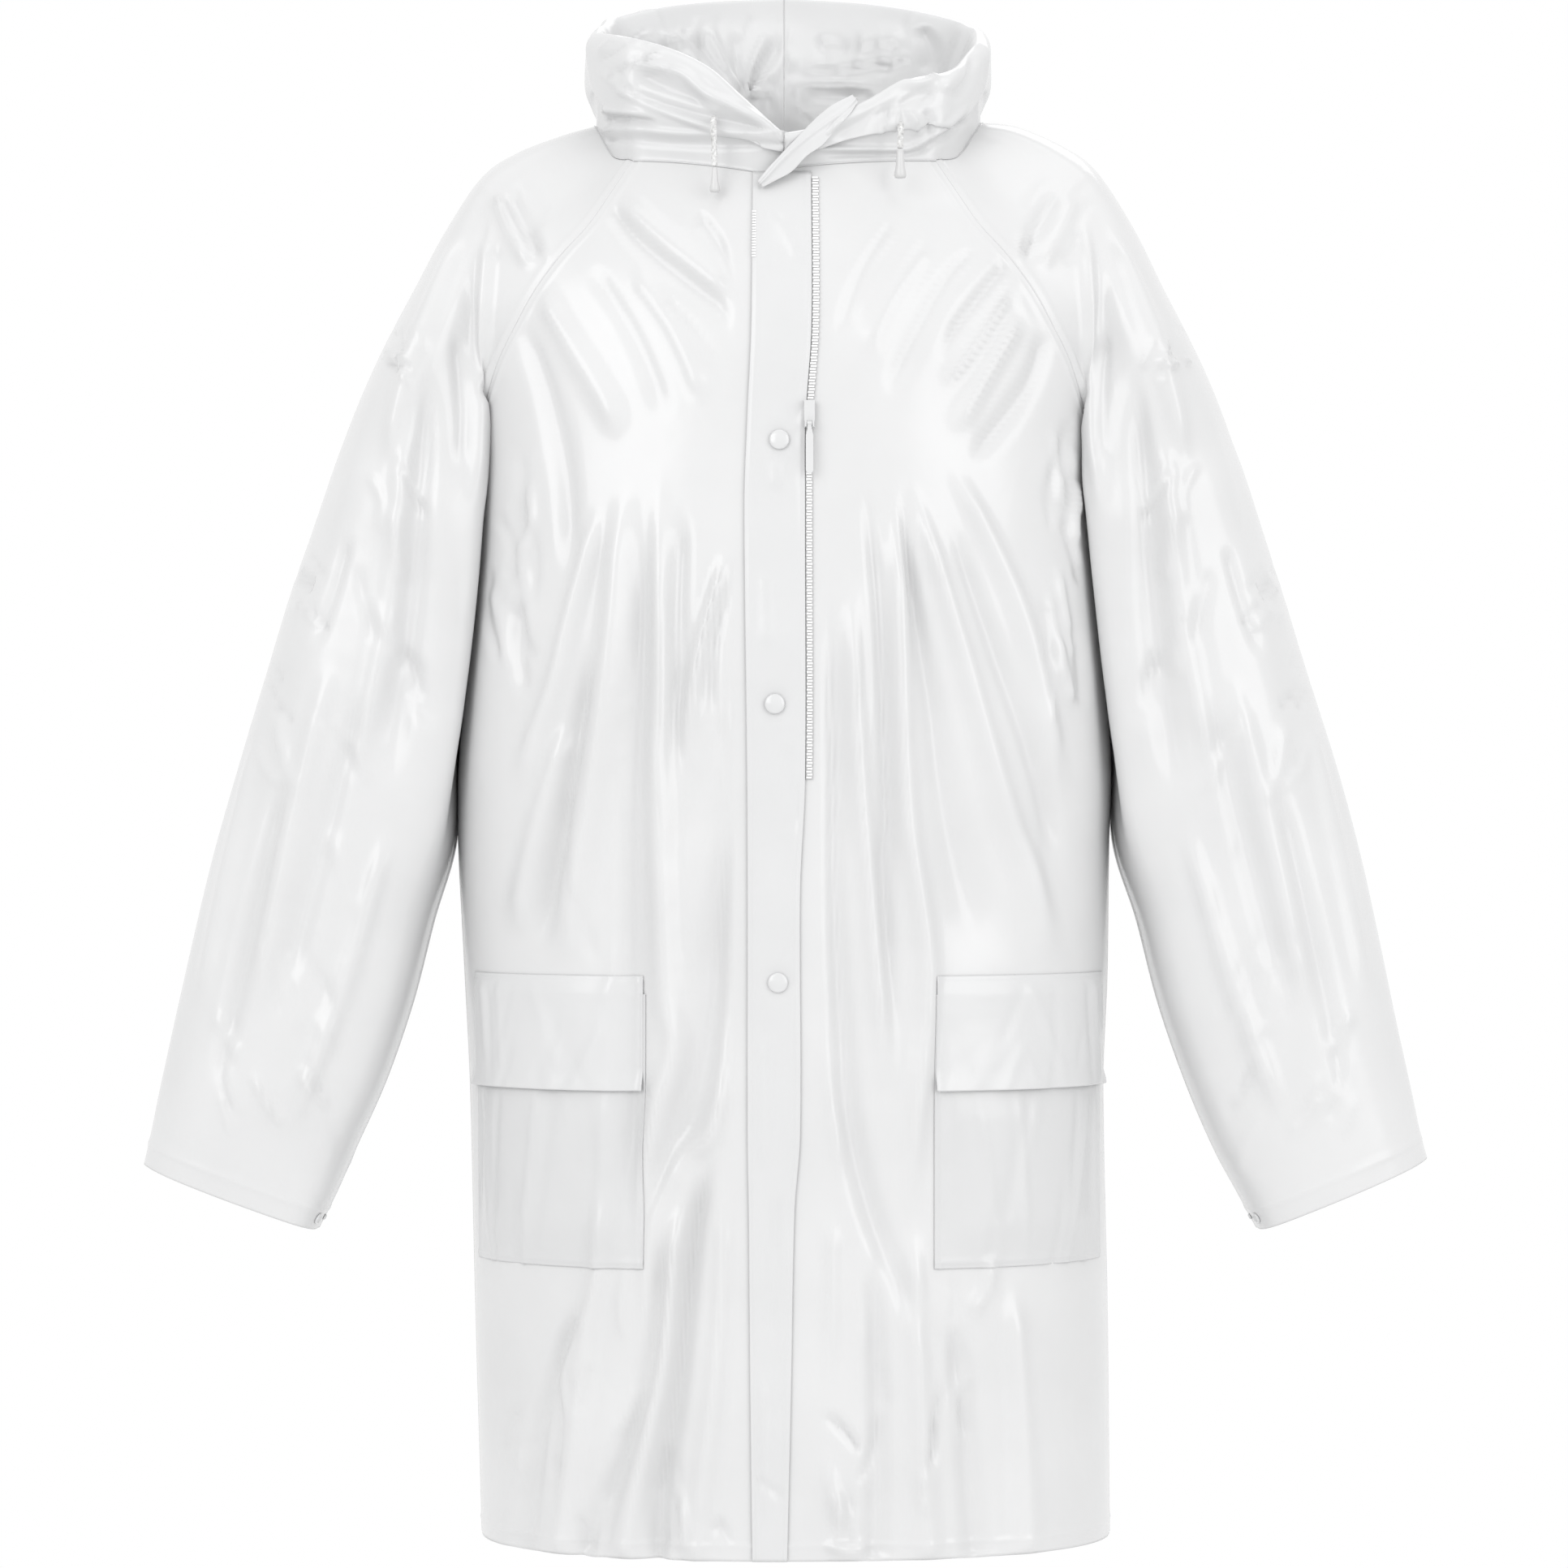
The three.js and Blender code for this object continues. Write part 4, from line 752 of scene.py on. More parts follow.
def sleeve_base(side, rounds):
    """The sleeve before its creases: points for each row and round, the rows' places and the last one."""
    coarse = [catmull(shoulder_section(side, j), rounds) for j in range(OPEN_ROWS)]
    coarse += [catmull(arm_ring(side, j), rounds, closed=True) for j in range(len(ARM["inX"]))]
    coarse = np.array(coarse)
    last = len(coarse) - 1
    rows = []
    for j in range(last):
        length = np.linalg.norm(coarse[j + 1] - coarse[j], axis=1).max()
        count = max(int(round(length / STEP)), 2)
        rows += list(j + np.arange(count) / count)
    cuff = np.linalg.norm(coarse[-1] - coarse[-2], axis=1).mean()
    fine = [last - up / cuff for up in CUFF_POINTS]
    rows = np.array([r for r in rows if r < last - CUFF_REACH / cuff] + fine)
    grid = np.stack([catmull(coarse[:, i], rows / last) for i in range(len(rounds))], axis=1)
    # In the open rows the edges follow the panels' edges
    opened = rows <= OPEN_ROWS - 0.3
    fade = 1 - smooth(OPEN_ROWS - 1.0, OPEN_ROWS - 0.3, rows)
    u = np.minimum(rows, OPEN_ROWS)
    for ahead, near in ((True, rounds), (False, 1 - rounds)):
        edge = torso_point(side, seam_angle(side, u, ahead), row_height(u, ahead))
        own = grid[:, 0 if ahead else -1]
        fix = (edge - own) * (opened * fade)[:, None]
        grid = grid + fix[:, None, :] * (1 - smooth(0, 0.1, near))[None, :, None]
    return grid, rows, last


def with_lip(side, grid, rows):
    """Lets the sleeve's front edge hang a little over the side of the body."""
    beside = np.abs(grid[..., 0])
    inner = beside.min(axis=1, keepdims=True)
    z = grid[..., 2]
    lip = LIP * smooth(-120, -250, z) * smooth(-530, -390, z)
    lip *= np.exp(-(((grid[..., 1] - LIP_Y) / 14) ** 2)) * (1 - smooth(12, 46, beside - inner))
    opened = (rows < OPEN_ROWS)[:, None]
    lip *= np.where(opened, smooth(3, 16, from_edges(grid)), 1) * (rows >= OPEN_ROWS - 6)[:, None]
    return grid + lip[..., None] * np.array([-side, -LIP_DROOP, 0])


def sleeve_rise(side, grid, rows, last, rounds):
    """The height of the sleeve's creases and weld lines."""
    opened = (rows < OPEN_ROWS)[:, None]
    forward = grid[..., 1].mean(axis=1, keepdims=True) - grid[..., 1]
    ahead = smooth(-6, 10, forward)
    front_folds = SLEEVE_CREASES if side < 0 else changed(SLEEVE_CREASES, 21, mirror=True, amount=5)
    back_folds = changed(SLEEVE_CREASES, 31 + side, mirror=side > 0, shift=(6.0, -22.0), amount=8)
    rise = crease_rise(front_folds, grid[..., 0], grid[..., 2]) * ahead
    rise += crease_rise(back_folds, grid[..., 0], grid[..., 2]) * (1 - ahead)
    down = rows / last
    for round0, round1, start, end, width, lift in SLEEVE_FALLS:
        t = np.clip((down - start) / (end - start), 0, 1)
        line = round0 + (round1 - round0) * t
        away = np.minimum(np.abs(rounds[None, :] - line[:, None]) / width, 1)
        rise += 0.7 * lift * np.sin(np.pi * t)[:, None] * (0.5 + 0.5 * np.cos(np.pi * away))
    # They fade out towards the cuff, the sleeve's outline and the seams
    along = np.linalg.norm(np.diff(grid, axis=0), axis=2)
    left = np.concatenate([np.cumsum(along[::-1], axis=0)[::-1], np.zeros((1, len(rounds)))])
    rise *= smooth(6, 26, left)
    outline = np.abs(forward) / np.maximum(np.abs(forward).max(axis=1), 1)[:, None]
    rise *= 0.08 + 0.92 * smooth(0.15, 0.6, outline)
    near = from_edges(grid)
    rise *= np.where(opened, smooth(0, 12, near), 1)
    rise += np.where(opened, weld(near, SEAM_WELD), weld(near, UNDERARM_WELD))
    return rise + weld(left, CUFF_WELD)


def sleeve(side, label):
    rounds = np.linspace(0, 1, 161)
    grid, rows, last = sleeve_base(side, rounds)
    grid = with_lip(side, grid, rows)
    closed = rows >= OPEN_ROWS
    outwards = grid - grid.mean(axis=1, keepdims=True)
    normal = facing(normals_of(grid), outwards)
    normal[closed] = facing(normals_of(grid, True), outwards)[closed]
    grid = grid + normal * sleeve_rise(side, grid, rows, last, rounds)[..., None]
    grid[closed, -1] = grid[closed, 0]
    obj = shell("sleeve_" + label + "_film", grid, outwards, film, wrap_from=int(np.argmax(closed)))
    return finished(obj, "sleeve_" + label), grid


sleeve_right, right_sleeve_grid = sleeve(-1, "right")
sleeve_left, left_sleeve_grid = sleeve(1, "left")

# Hood: place runs along half the neckline from the front to the back
HOOD = {
    "place": (0, 0.08, 0.14, 0.22, 0.32, 0.42, 0.52, 0.68, 0.85, 1),
    "rightTop": (-9, 17, 36, 50, 60, 66, 71, 90, 104, 110),
    "leftTop": (-9, -2, 12, 28, 37, 54, 70, 88, 103, 110),
    "lowOut": (5, 6, 7, 8, 6, 5, 4, 14, 33, 38),
    "lowDrop": (-1, -2, -2, -2, -5, -7, -8, -6, 8, 12),
    "midOut": (8, 9, 10, 10, 9, 8, 7, 24, 46, 50),
    "crestOut": (5, 5, 6, 5, 5, 4, 2, 8, 17, 19),
    "inner": (8, 9, 10, 11, 12, 14, 18, 18, 20, 22),
    "innerZ": (-34, -28, -18, -6, 6, 18, 26, 32, 36, 38),
}


def resampled(line, shares):
    """Points at shares of a line's length."""
    lengths = run_lengths(line)
    return np.stack([np.interp(shares * lengths[-1], lengths, line[:, k]) for k in range(3)], axis=-1)


def neckline(side, row=0):
    """Half the neckline, or the line of a row below it, from the middle of the front to that of the back."""
    start = side * 0.3
    middle = left_grid[row]
    place = np.stack([np.interp([start], middle[:, 0], middle[:, k]) for k in range(3)], axis=-1)
    if side > 0:
        front = middle[middle[:, 0] > start + 1]
    else:
        under = middle[middle[:, 0] < start - 1][::-1]
        front = np.concatenate([under, right_grid[row][right_grid[row][:, 0] < under[-1, 0] - 0.5]])
    arm = right_sleeve_grid[row] if side < 0 else left_sleeve_grid[row]
    half = back_grid[row][back_grid[row][:, 0] * side >= 0]
    half = half[np.argsort(-half[:, 0] * side)]
    return np.concatenate([place, front, arm, half])


# Creases of the hood's outer layer in front, seen from the front
HOOD_FRONT_CREASES = [
    crease(2.6, (4, 5, 5, 4), (-124, 39), (-104, 21), (-78, 7), (-50, -4), (-30, -8)),
    crease(-2.8, (4, 6, 6, 4), (-116, 30), (-93, 16), (-67, 7), (-37, -1), (-6, -9)),
    crease(3.0, (4, 6, 6, 4), (-104, 40), (-69, 32), (-52, 17), (-37, 10), (-4, -8)),
    crease(-3.2, (7, 10, 6), (-100, 33), (-74, 22), (-48, 8)),
    crease(1.6, (3, 4, 4, 3),
           (-127, 0), (-95, -4), (-63, -8), (-15, -10), (0, -10), head=0.02, tail=0.02),
    crease(-1.8, (3, 5, 5, 3),
           (-127, -6), (-95, -11), (-63, -15), (-15, -17), (0, -17), head=0.02, tail=0.02),
    crease(-2.4, (3, 4), (-122, 8), (-108, 4), (-84, 0)),
    crease(2.0, (3, 4), (-124, 14), (-108, 9), (-92, 6)),
    crease(2.0, (3, 4, 4, 3), (22, -19), (73, -18), (84, -17), (101, -7), (119, 10), (127, 24), head=0.02),
    crease(-2.2, (4, 5, 5, 3), (24, -23), (73, -22), (90, -18), (108, -6), (125, 8)),
    crease(2.8, (4, 5, 5, 4), (22, -18), (37, -1), (56, 17), (75, 25), (91, 26), (100, 34), (102, 54)),
    crease(-3.0, (6, 12, 12, 8), (30, -13), (60, 3), (88, 17), (108, 22)),
    crease(2.2, (3, 4, 3), (73, -7), (75, 4), (78, 10)),
    crease(2.2, (3, 4, 3), (81, 9), (87, 0), (88, -10)),
    crease(-1.9, (3, 4, 3), (66, -8), (70, 2), (72, 10)),
    crease(-2.0, (3, 4, 3), (93, 9), (96, 1), (96, -7)),
    crease(2.4, (5, 8, 6), (104, 20), (116, 38), (120, 58)),
    crease(-2.2, (5, 7), (112, 16), (124, 34), (126, 52)),
    *small_creases(12, [
        (-96, 44, 22, 16, 30, 14, 20, 3.2, 1.2),
        (-70, 14, 36, 14, 152, 8, 20, 3.2, 0.9),
        (78, 6, 26, 12, 62, 8, 18, 3.2, 0.9),
    ]),
]

# Creases of its inner layer behind the neck, seen through the neck: they meet at one gathered place
HOOD_INSIDE_CREASES = [
    crease(3.2, (2, 5, 8), (-26, 37), (-21, 60), (-11, 84), head=0.05),
    crease(-2.8, (2, 5, 8), (-26, 37), (-14, 58), (0, 82), head=0.05),
    crease(2.8, (2, 5, 8), (-25, 37), (-8, 52), (10, 68), head=0.05),
    crease(-2.8, (2, 5, 8), (-27, 38), (-33, 62), (-31, 84), head=0.05),
    crease(3.2, (2, 5, 7), (-28, 38), (-42, 62), (-54, 88), head=0.05),
    crease(-3.4, (4, 10, 10), (-34, 48), (-48, 64), (-60, 80)),
    crease(2.6, (3, 5), (-30, 36), (-52, 46), (-66, 66)),
    crease(-2.4, (3, 6), (-36, 38), (-62, 46), (-84, 58)),
    crease(2.6, (3, 4, 4, 3), (12, 56), (50, 60), (90, 63)),
    crease(-2.4, (3, 4, 4, 3), (6, 50), (50, 53), (88, 55)),
    crease(2.4, (3, 4, 4, 3), (-4, 45), (30, 45), (58, 44)),
    crease(-2.6, (4, 7, 5), (14, 37), (40, 35), (64, 35)),
    crease(3.2, (3, 4, 3), (-27, 36), (-16, 39), (-4, 41)),
    crease(3.6, (12, 16, 12), (50, 74), (66, 76), (84, 76)),
    crease(-3.6, (8, 12, 10), (92, 84), (100, 68), (98, 50)),
    crease(-3.0, (6, 10, 6), (20, 76), (34, 74), (46, 70)),
    crease(2.8, (4, 6, 4), (-104, 62), (-88, 54), (-80, 40)),
    crease(-2.8, (4, 7, 4), (-96, 68), (-78, 66), (-70, 52)),
    crease(2.4, (4, 5, 4), (-86, 78), (-70, 74), (-60, 84)),
    *small_creases(14, [
        (-84, 60, 22, 18, 40, 16, 20, 3.2, 1.5),
        (10, 78, 70, 14, 84, 12, 22, 4.0, 1.1),
        (30, 46, 50, 14, 12, 10, 24, 3.2, 1.0),
        (-10, 30, 40, 14, 150, 8, 20, 3.2, 1.0),
    ]),
]


CREST_UP = 5 / 8  # share of the hood's controls at which its crest lies
POUCH_GATHERS = 16
POUCH_FOLDS = (0.22, 0.32, 0.42)


def hood_controls(side, places):
    """Nine lines along the hood, up its outer layer, over the crest and down inside, and its directions."""
    base = resampled(neckline(side), places)
    below = resampled(neckline(side, 1), places)
    columns = {name: hermite(HOOD["place"], values, places) for name, values in HOOD.items()}
    out = np.stack([base[:, 0], base[:, 1] * 1.15, np.zeros(len(places))], axis=-1)
    out /= np.linalg.norm(out, axis=1, keepdims=True)
    top = columns["rightTop" if side < 0 else "leftTop"]
    height = top - base[:, 2]
    # The loose film leans out a little more at the sides than the solid does
    crest = columns["crestOut"] + 2 * np.exp(-(((places - 0.5) / 0.13) ** 2))
    near = 1 - smooth(0.45, 0.6, places)
    lining = 8 + 38 * smooth(0.15, 0.55, places)

    def at(distance, z):
        point = base + out * np.asarray(distance, float).reshape(-1, 1)
        point[:, 2] = z
        return point

    # The lowest edge laps the panels by some 3 mm, as a welded seam
    controls = np.stack([
        base + (below - base) * 0.8 + out * 0.5 + np.array([0, 0, 0.6]),
        base + out * 1.0 + np.array([0, 0, 1.0]),
        at(columns["lowOut"] - 2.5 * near, base[:, 2] - columns["lowDrop"] + (height * 0.12 + 5) * near + 3),
        at(columns["midOut"] - 1.5 * near, base[:, 2] + height * 0.42),
        at(crest + 4, base[:, 2] + height * 0.86),
        at(crest - 4, top),
        at(crest - 12, base[:, 2] + height * 0.82),
        at(-columns["inner"], columns["innerZ"]),
        at(-columns["inner"] - 3, columns["innerZ"] - lining),
    ])
    return controls, out


def hood_rise(side, grid, across, up):
    """The height of the hood's creases: up is 0 at its base and 1 at the end of the inner layer."""
    outer = smooth(0.1, 0.16, up) * (1 - smooth(CREST_UP - 0.07, CREST_UP, up))
    inner = smooth(CREST_UP + 0.01, CREST_UP + 0.09, up)
    ahead = 1 - smooth(-46, -16, grid[..., 1])
    rise = crease_rise(HOOD_FRONT_CREASES, grid[..., 0], grid[..., 2]) * outer * ahead
    rise += crease_rise(HOOD_INSIDE_CREASES, grid[..., 0], grid[..., 2]) * inner * (1 - ahead)
    # The pouch behind: gathers that fall from the crest, and slack folds across
    rng = np.random.default_rng(40 + side)
    for _ in range(POUCH_GATHERS):
        place, tilt, wide = rng.uniform(0.62, 0.97), rng.uniform(-0.16, 0.16), rng.uniform(0.016, 0.03)
        lift = rng.choice([-1, 1]) * rng.uniform(1.0, 2.6)
        line = place + tilt * (up - 0.3)
        rise += lift * np.exp(-(((across - line) / wide) ** 2)) * outer * (1 - ahead)
    for level in POUCH_FOLDS:
        wave = 0.02 * np.sin(across * rng.uniform(8, 14) + rng.uniform(0, 6))
        rise += 1.8 * np.exp(-(((up - level - wave) / 0.035) ** 2)) * outer * smooth(0.6, 0.75, across)
    return rise * (1 - smooth(0.985, 1.0, across))


def hood(side, label):
    places = spaced(1, 1 / 150, edge=(0.003, 0.006, 0.010), ends=(False, True))
    heights = np.linspace(1, 0, 111)
    controls, out = hood_controls(side, places)
    grid = np.stack([catmull(controls[:, i], heights) for i in range(len(places))], axis=1)
    across = np.broadcast_to(places[None], grid.shape[:2])
    up = np.broadcast_to(heights[:, None], grid.shape[:2])
    # Outwards on the outer layer, towards the neck on the inner one
    normal = normals_of(grid)
    low = up < 0.4
    normal = normal * (1 if (normal[low] * np.broadcast_to(out, grid.shape)[low]).sum() > 0 else -1)
    grid = grid + normal * hood_rise(side, grid, across, up)[..., None]
    grid[:, -1, 0] = side * 0.05
    obj = shell("hood_" + label + "_film", grid, normal, hood_film)
    return finished(obj, "hood_" + label)


hood_right = hood(-1, "right")
hood_left = hood(1, "left")


# Front flap, zip, snaps
FLAP = {
    "z": (-34, -140, -200, -256, -435, -508, -666, -715, -825, -943),
    "left": (-20.6, -21.5, -24, -25.8, -24, -23.7, -23.7, -23, -22, -20.6),
    "right": (17.9, 17.9, 14, 13.7, 13.7, 10.5, 10.5, 6.9, 4.7, 2.1),
}
FLAP_LIFT = 0.45
FLAP_WELD = 3.0
SNAP_RADIUS = 6.5
SNAP_DIMPLE = 0.9
DEEPEST = -1.0  # below it the flap would touch the fronts
SNAPS = (("snap_top", -3, -214), ("snap_middle", -6, -386), ("snap_bottom", -4, -567))


def front_place(x, z, lift=0.0):
    """A point of the plain front, lifted off it."""
    side = np.where(np.asarray(x) < 0, -1, 1)
    point = torso_point(side, torso_angle(side, np.abs(x), z, True), z)
    point[..., 1] -= lift
    return point


FLAP_CREASES = [
    crease(-2.2, (4, 6, 4), (-14, -60), (-10, -84), (-11, -104), sharp=1.2),
    crease(1.6, (4, 6, 4), (-4, -62), (4, -80), (12, -98)),
    crease(-1.4, (4, 7, 4), (2, -204), (8, -196), (14, -190), sharp=1.2),
    crease(1.4, (4, 6), (-6, -226), (-5, -246)),
    crease(-1.2, (4, 6), (2, -224), (3, -244)),
    crease(1.2, (5, 8), (-12, -300), (-10, -352)),
    crease(-1.2, (5, 8), (2, -412), (6, -470)),
    crease(1.4, (5, 8), (-12, -600), (-14, -690)),
    crease(-1.4, (5, 8), (-4, -700), (-10, -800)),
    crease(1.4, (5, 8), (-14, -820), (-10, -920)),
    crease(-1.2, (4, 6), (-18, -888), (2, -902), sharp=1.3),
]


def flap():
    """The double strip over the closing, pressed in round each snap."""
    z = np.concatenate([np.arange(FLAP["z"][0], HEM_Z, -3.0), [HEM_Z]])
    shares = spaced(36, 3.2, edge=(0.8, 1.6, 2.4, 3.2, 4.2))
    z = np.minimum(z, row_height(np.array([0.0]), True, 0.0)[0])
    zz, share = np.meshgrid(np.unique(z)[::-1], shares, indexing="ij")
    left, right = hermite(FLAP["z"], FLAP["left"], zz), hermite(FLAP["z"], FLAP["right"], zz)
    x = left + (right - left) * share
    rise = crease_rise(FLAP_CREASES, x, zz)
    rise += (0.5 * np.sin(zz / 31.0) + 0.35 * np.sin(zz / 11.3 + 2)) * np.sin(share * np.pi)
    for _, sx, sz in SNAPS:
        away = np.hypot(x - sx, zz - sz)
        rise -= SNAP_DIMPLE * np.exp(-(((away - SNAP_RADIUS - 1) / 3) ** 2))
    rise += weld(x - left, FLAP_WELD, 0.8, 0.45) + weld(right - x, FLAP_WELD, 0.8, 0.4)
    rise = np.maximum(rise, DEEPEST)
    grid = front_place(x, zz, FLAP_LIFT + WALL)
    grid[..., 1] -= rise
    obj = shell("front_flap_film", grid, forwards(grid), double_film)
    return finished(obj, "front_flap")


front_flap = flap()


def box_points(centre, size):
    cx, cy, cz = centre
    sx, sy, sz = (s / 2 for s in size)
    return [(cx + a * sx, cy + b * sy, cz + c * sz) for a in (-1, 1) for b in (-1, 1) for c in (-1, 1)]


BOX_FACES = [(0, 1, 3, 2), (4, 6, 7, 5), (0, 4, 5, 1), (2, 3, 7, 6), (0, 2, 6, 4), (1, 5, 7, 3)]
TOOTH_PITCH = 1.9
ZIP_TOP = -38.6
ZIP_TEETH = 209
TOOTH_SIZE = (3.3, 1.1, 1.15)
WIDE_TOOTH_SIZE = (3.9, 1.1, 1.15)
WIDE_TEETH_END = -192  # above it the flap leaves more of the teeth in sight
TOOTH_STAGGER = 0.25
OTHER_TOP = -62.0
OTHER_TEETH = 17
OTHER_TOOTH_SIZE = (2.6, 0.8, 1.1)
TAPE_TOP = -38
TAPE_END = -435
TAPE_WIDTH = 4.4


def teeth(name, boxes):
    """One mesh of the teeth given by their centres and sizes."""
    points, faces = [], []
    for centre, size in boxes:
        faces += [[i + len(points) for i in face] for face in BOX_FACES]
        points += box_points(centre, size)
    return make(name, points, faces, zip_plastic, soft=False)


def beside_flap(column, z, away, lift):
    """A point beside an edge of the flap, lifted off the front."""
    edge = hermite(FLAP["z"], FLAP[column], np.array([z]))
    return front_place(edge + away, np.array([z]), lift)[0]


def zip_teeth():
    boxes = []
    for k in range(ZIP_TEETH):
        z = ZIP_TOP - TOOTH_PITCH * k
        centre = beside_flap("right", z, GAP + 2.3, FLAP_LIFT + 1.0)
        centre[0] += TOOTH_STAGGER if k % 2 else -TOOTH_STAGGER
        boxes.append((centre, WIDE_TOOTH_SIZE if z > WIDE_TEETH_END else TOOTH_SIZE))
    finished(teeth("zip_teeth", boxes), "zip_chain")


def zip_end_teeth():
    """The upper end of the other half of the zip, at the flap's other edge."""
    boxes = []
    for k in range(OTHER_TEETH):
        centre = beside_flap("left", OTHER_TOP - TOOTH_PITCH * k, 1.2, FLAP_LIFT + WALL + 0.5)
        boxes.append((centre, OTHER_TOOTH_SIZE))
    teeth("zip_end_teeth", boxes)


def zip_tape():
    zz, share = np.meshgrid(np.linspace(TAPE_TOP, TAPE_END, 160), np.linspace(0, 1, 4), indexing="ij")
    start = hermite(FLAP["z"], FLAP["right"], zz) + GAP
    grid = front_place(start + TAPE_WIDTH * share, zz, FLAP_LIFT + 0.5)
    return shell("zip_tape", grid, forwards(grid), tape_cloth, thick=0.45)


zip_teeth()
tape = zip_tape()
zip_end_teeth()


def turned(profile, sides=40):
    """Points and faces of a turned form about z, from rows of radius and height."""
    points = []
    for radius, height in profile:
        for k in range(sides):
            turn = 2 * math.pi * k / sides
            points.append((radius * math.cos(turn), radius * math.sin(turn), height))
    return points, ring_faces(len(profile), sides)


def placed(points, seat, direction):
    """Points about z turned so that z looks along a direction, and moved to a seat."""
    z = np.asarray(direction, float) / np.linalg.norm(direction)
    x = np.cross([0, 0, 1] if abs(z[2]) < 0.9 else [1, 0, 0], z)
    x /= np.linalg.norm(x)
    turn = np.stack([x, np.cross(z, x), z], axis=-1)
    return np.asarray(points) @ turn.T + np.asarray(seat)


SNAP_PROFILE = [
    (6.5, 0.0), (6.5, 0.3), (6.2, 0.75), (5.6, 1.1), (4.8, 1.3),
    (3.9, 1.5), (2.6, 1.75), (1.2, 1.9), (0.4, 1.92),
]
CUFF_PROFILES = {
    "cuff_snap": [
        (3.8, 0.0), (4.0, 0.4), (3.9, 1.0), (3.5, 1.35), (2.9, 1.4),
        (2.5, 1.0), (2.1, 0.7), (1.2, 0.6), (0.3, 0.6),
    ],
    "cuff_stud": [(2.1, 0.0), (2.2, 0.5), (2.0, 1.0), (1.4, 1.4), (0.4, 1.55)],
}
PATCH = 3  # rows and columns of points from which a surface's direction is taken


def snap(name, x, z):
    """A snap's cap, on the flap and square to the front."""
    seat = front_place(np.array([float(x)]), np.array([float(z)]), FLAP_LIFT + WALL + GAP)[0]
    upper, lower = front_place(np.array([x, x], float), np.array([z + SNAP_RADIUS, z - SNAP_RADIUS]))
    points, faces = turned(SNAP_PROFILE)
    direction = (0, lower[2] - upper[2], upper[1] - lower[1])
    finished(make(name + "_cap", placed(points, seat, direction), faces, metal), name)


def cuff_fastening(kind, label, grid):
    """A small snap or stud on the sleeve's grid, at the place of its solid."""
    node = kind + "_" + label
    low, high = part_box(node)
    centre = np.array((low + high) / 2) / MM
    nearest = np.argmin(np.linalg.norm(grid.reshape(-1, 3) - centre, axis=1))
    row, column = (
        min(max(place, PATCH), count - 1 - PATCH)
        for place, count in zip(divmod(int(nearest), grid.shape[1]), grid.shape)
    )
    down = grid[row + PATCH, column] - grid[row - PATCH, column]
    across = grid[row, column + PATCH] - grid[row, column - PATCH]
    normal = np.cross(down, across)
    normal *= np.sign(normal[1]) * -1 / np.linalg.norm(normal)
    points, faces = turned(CUFF_PROFILES[kind], 28)
    cap = make(node + "_cap", placed(points, grid[row, column] + normal * 0.2, normal), faces, metal)
    finished(cap, node)


for name, x, z in SNAPS:
    snap(name, x, z)
for label, grid in (("right", right_sleeve_grid), ("left", left_sleeve_grid)):
    for kind in CUFF_PROFILES:
        cuff_fastening(kind, label, grid)


# Pockets: a bag and a flap over the front, seen from the front as distances from the middle
POCKET_WIDTH = 170
POCKET_POINTS = (1.0, 2.2, 3.4, 4.6, 6.0)
WRINKLES = 16


def bag_rise(edge, under, above):
    """Welded down at the sides and below, and flat where the flap covers it; and its wrinkles' strength."""
    shown = smooth(52, 84, under)
    rise = 0.9 + 0.8 * smooth(0, 7, edge) * smooth(0, 7, above)
    rise += 2.6 * smooth(4, 40, edge) * smooth(4, 30, above) * shown
    rise += weld(edge, 4.0, 1.2, 0.5) + weld(above, 4.0, 1.2, 0.5)
    return rise, 1.3 * shown


def flap_rise(edge, under, across, down):
    """Welded along its top, free at the sides and below; and its wrinkles' strength."""
    rise = 0.9 + (0.6 + 2.1 * smooth(0, 9, edge)) * smooth(0, 11, under)
    rise += 1.2 * smooth(0.2, 0.9, down) * smooth(4, 30, edge)
    rise += weld(under, 4.0, 1.2, 0.4)
    curl = smooth(0.82, 1.0, down)
    rise += 1.2 * curl * (0.4 + 0.6 * np.sin(across * 9 + 1.5) ** 2) + 1.8 * curl * (1 - smooth(0, 14, edge))
    return rise, 0.9 * smooth(2, 12, under)


def pocket_wrinkles(seed, edge, across, down):
    rng = np.random.default_rng(seed)
    rise = np.zeros(across.shape)
    for _ in range(WRINKLES):
        place, tilt, wide = rng.uniform(0.04, 0.96), rng.uniform(-0.3, 0.3), rng.uniform(0.014, 0.035)
        lift = rng.choice([-1, 1]) * rng.uniform(0.4, 1.0)
        line = place + tilt * (down - 0.5)
        first, last = sorted(rng.uniform(-0.2, 1.2, 2))
        length = smooth(first - 0.1, first + 0.2, down) * (1 - smooth(last - 0.05, last + 0.25, down))
        rise += lift * np.exp(-(((across - line) / wide) ** 2)) * length
    return rise * smooth(3, 12, edge)


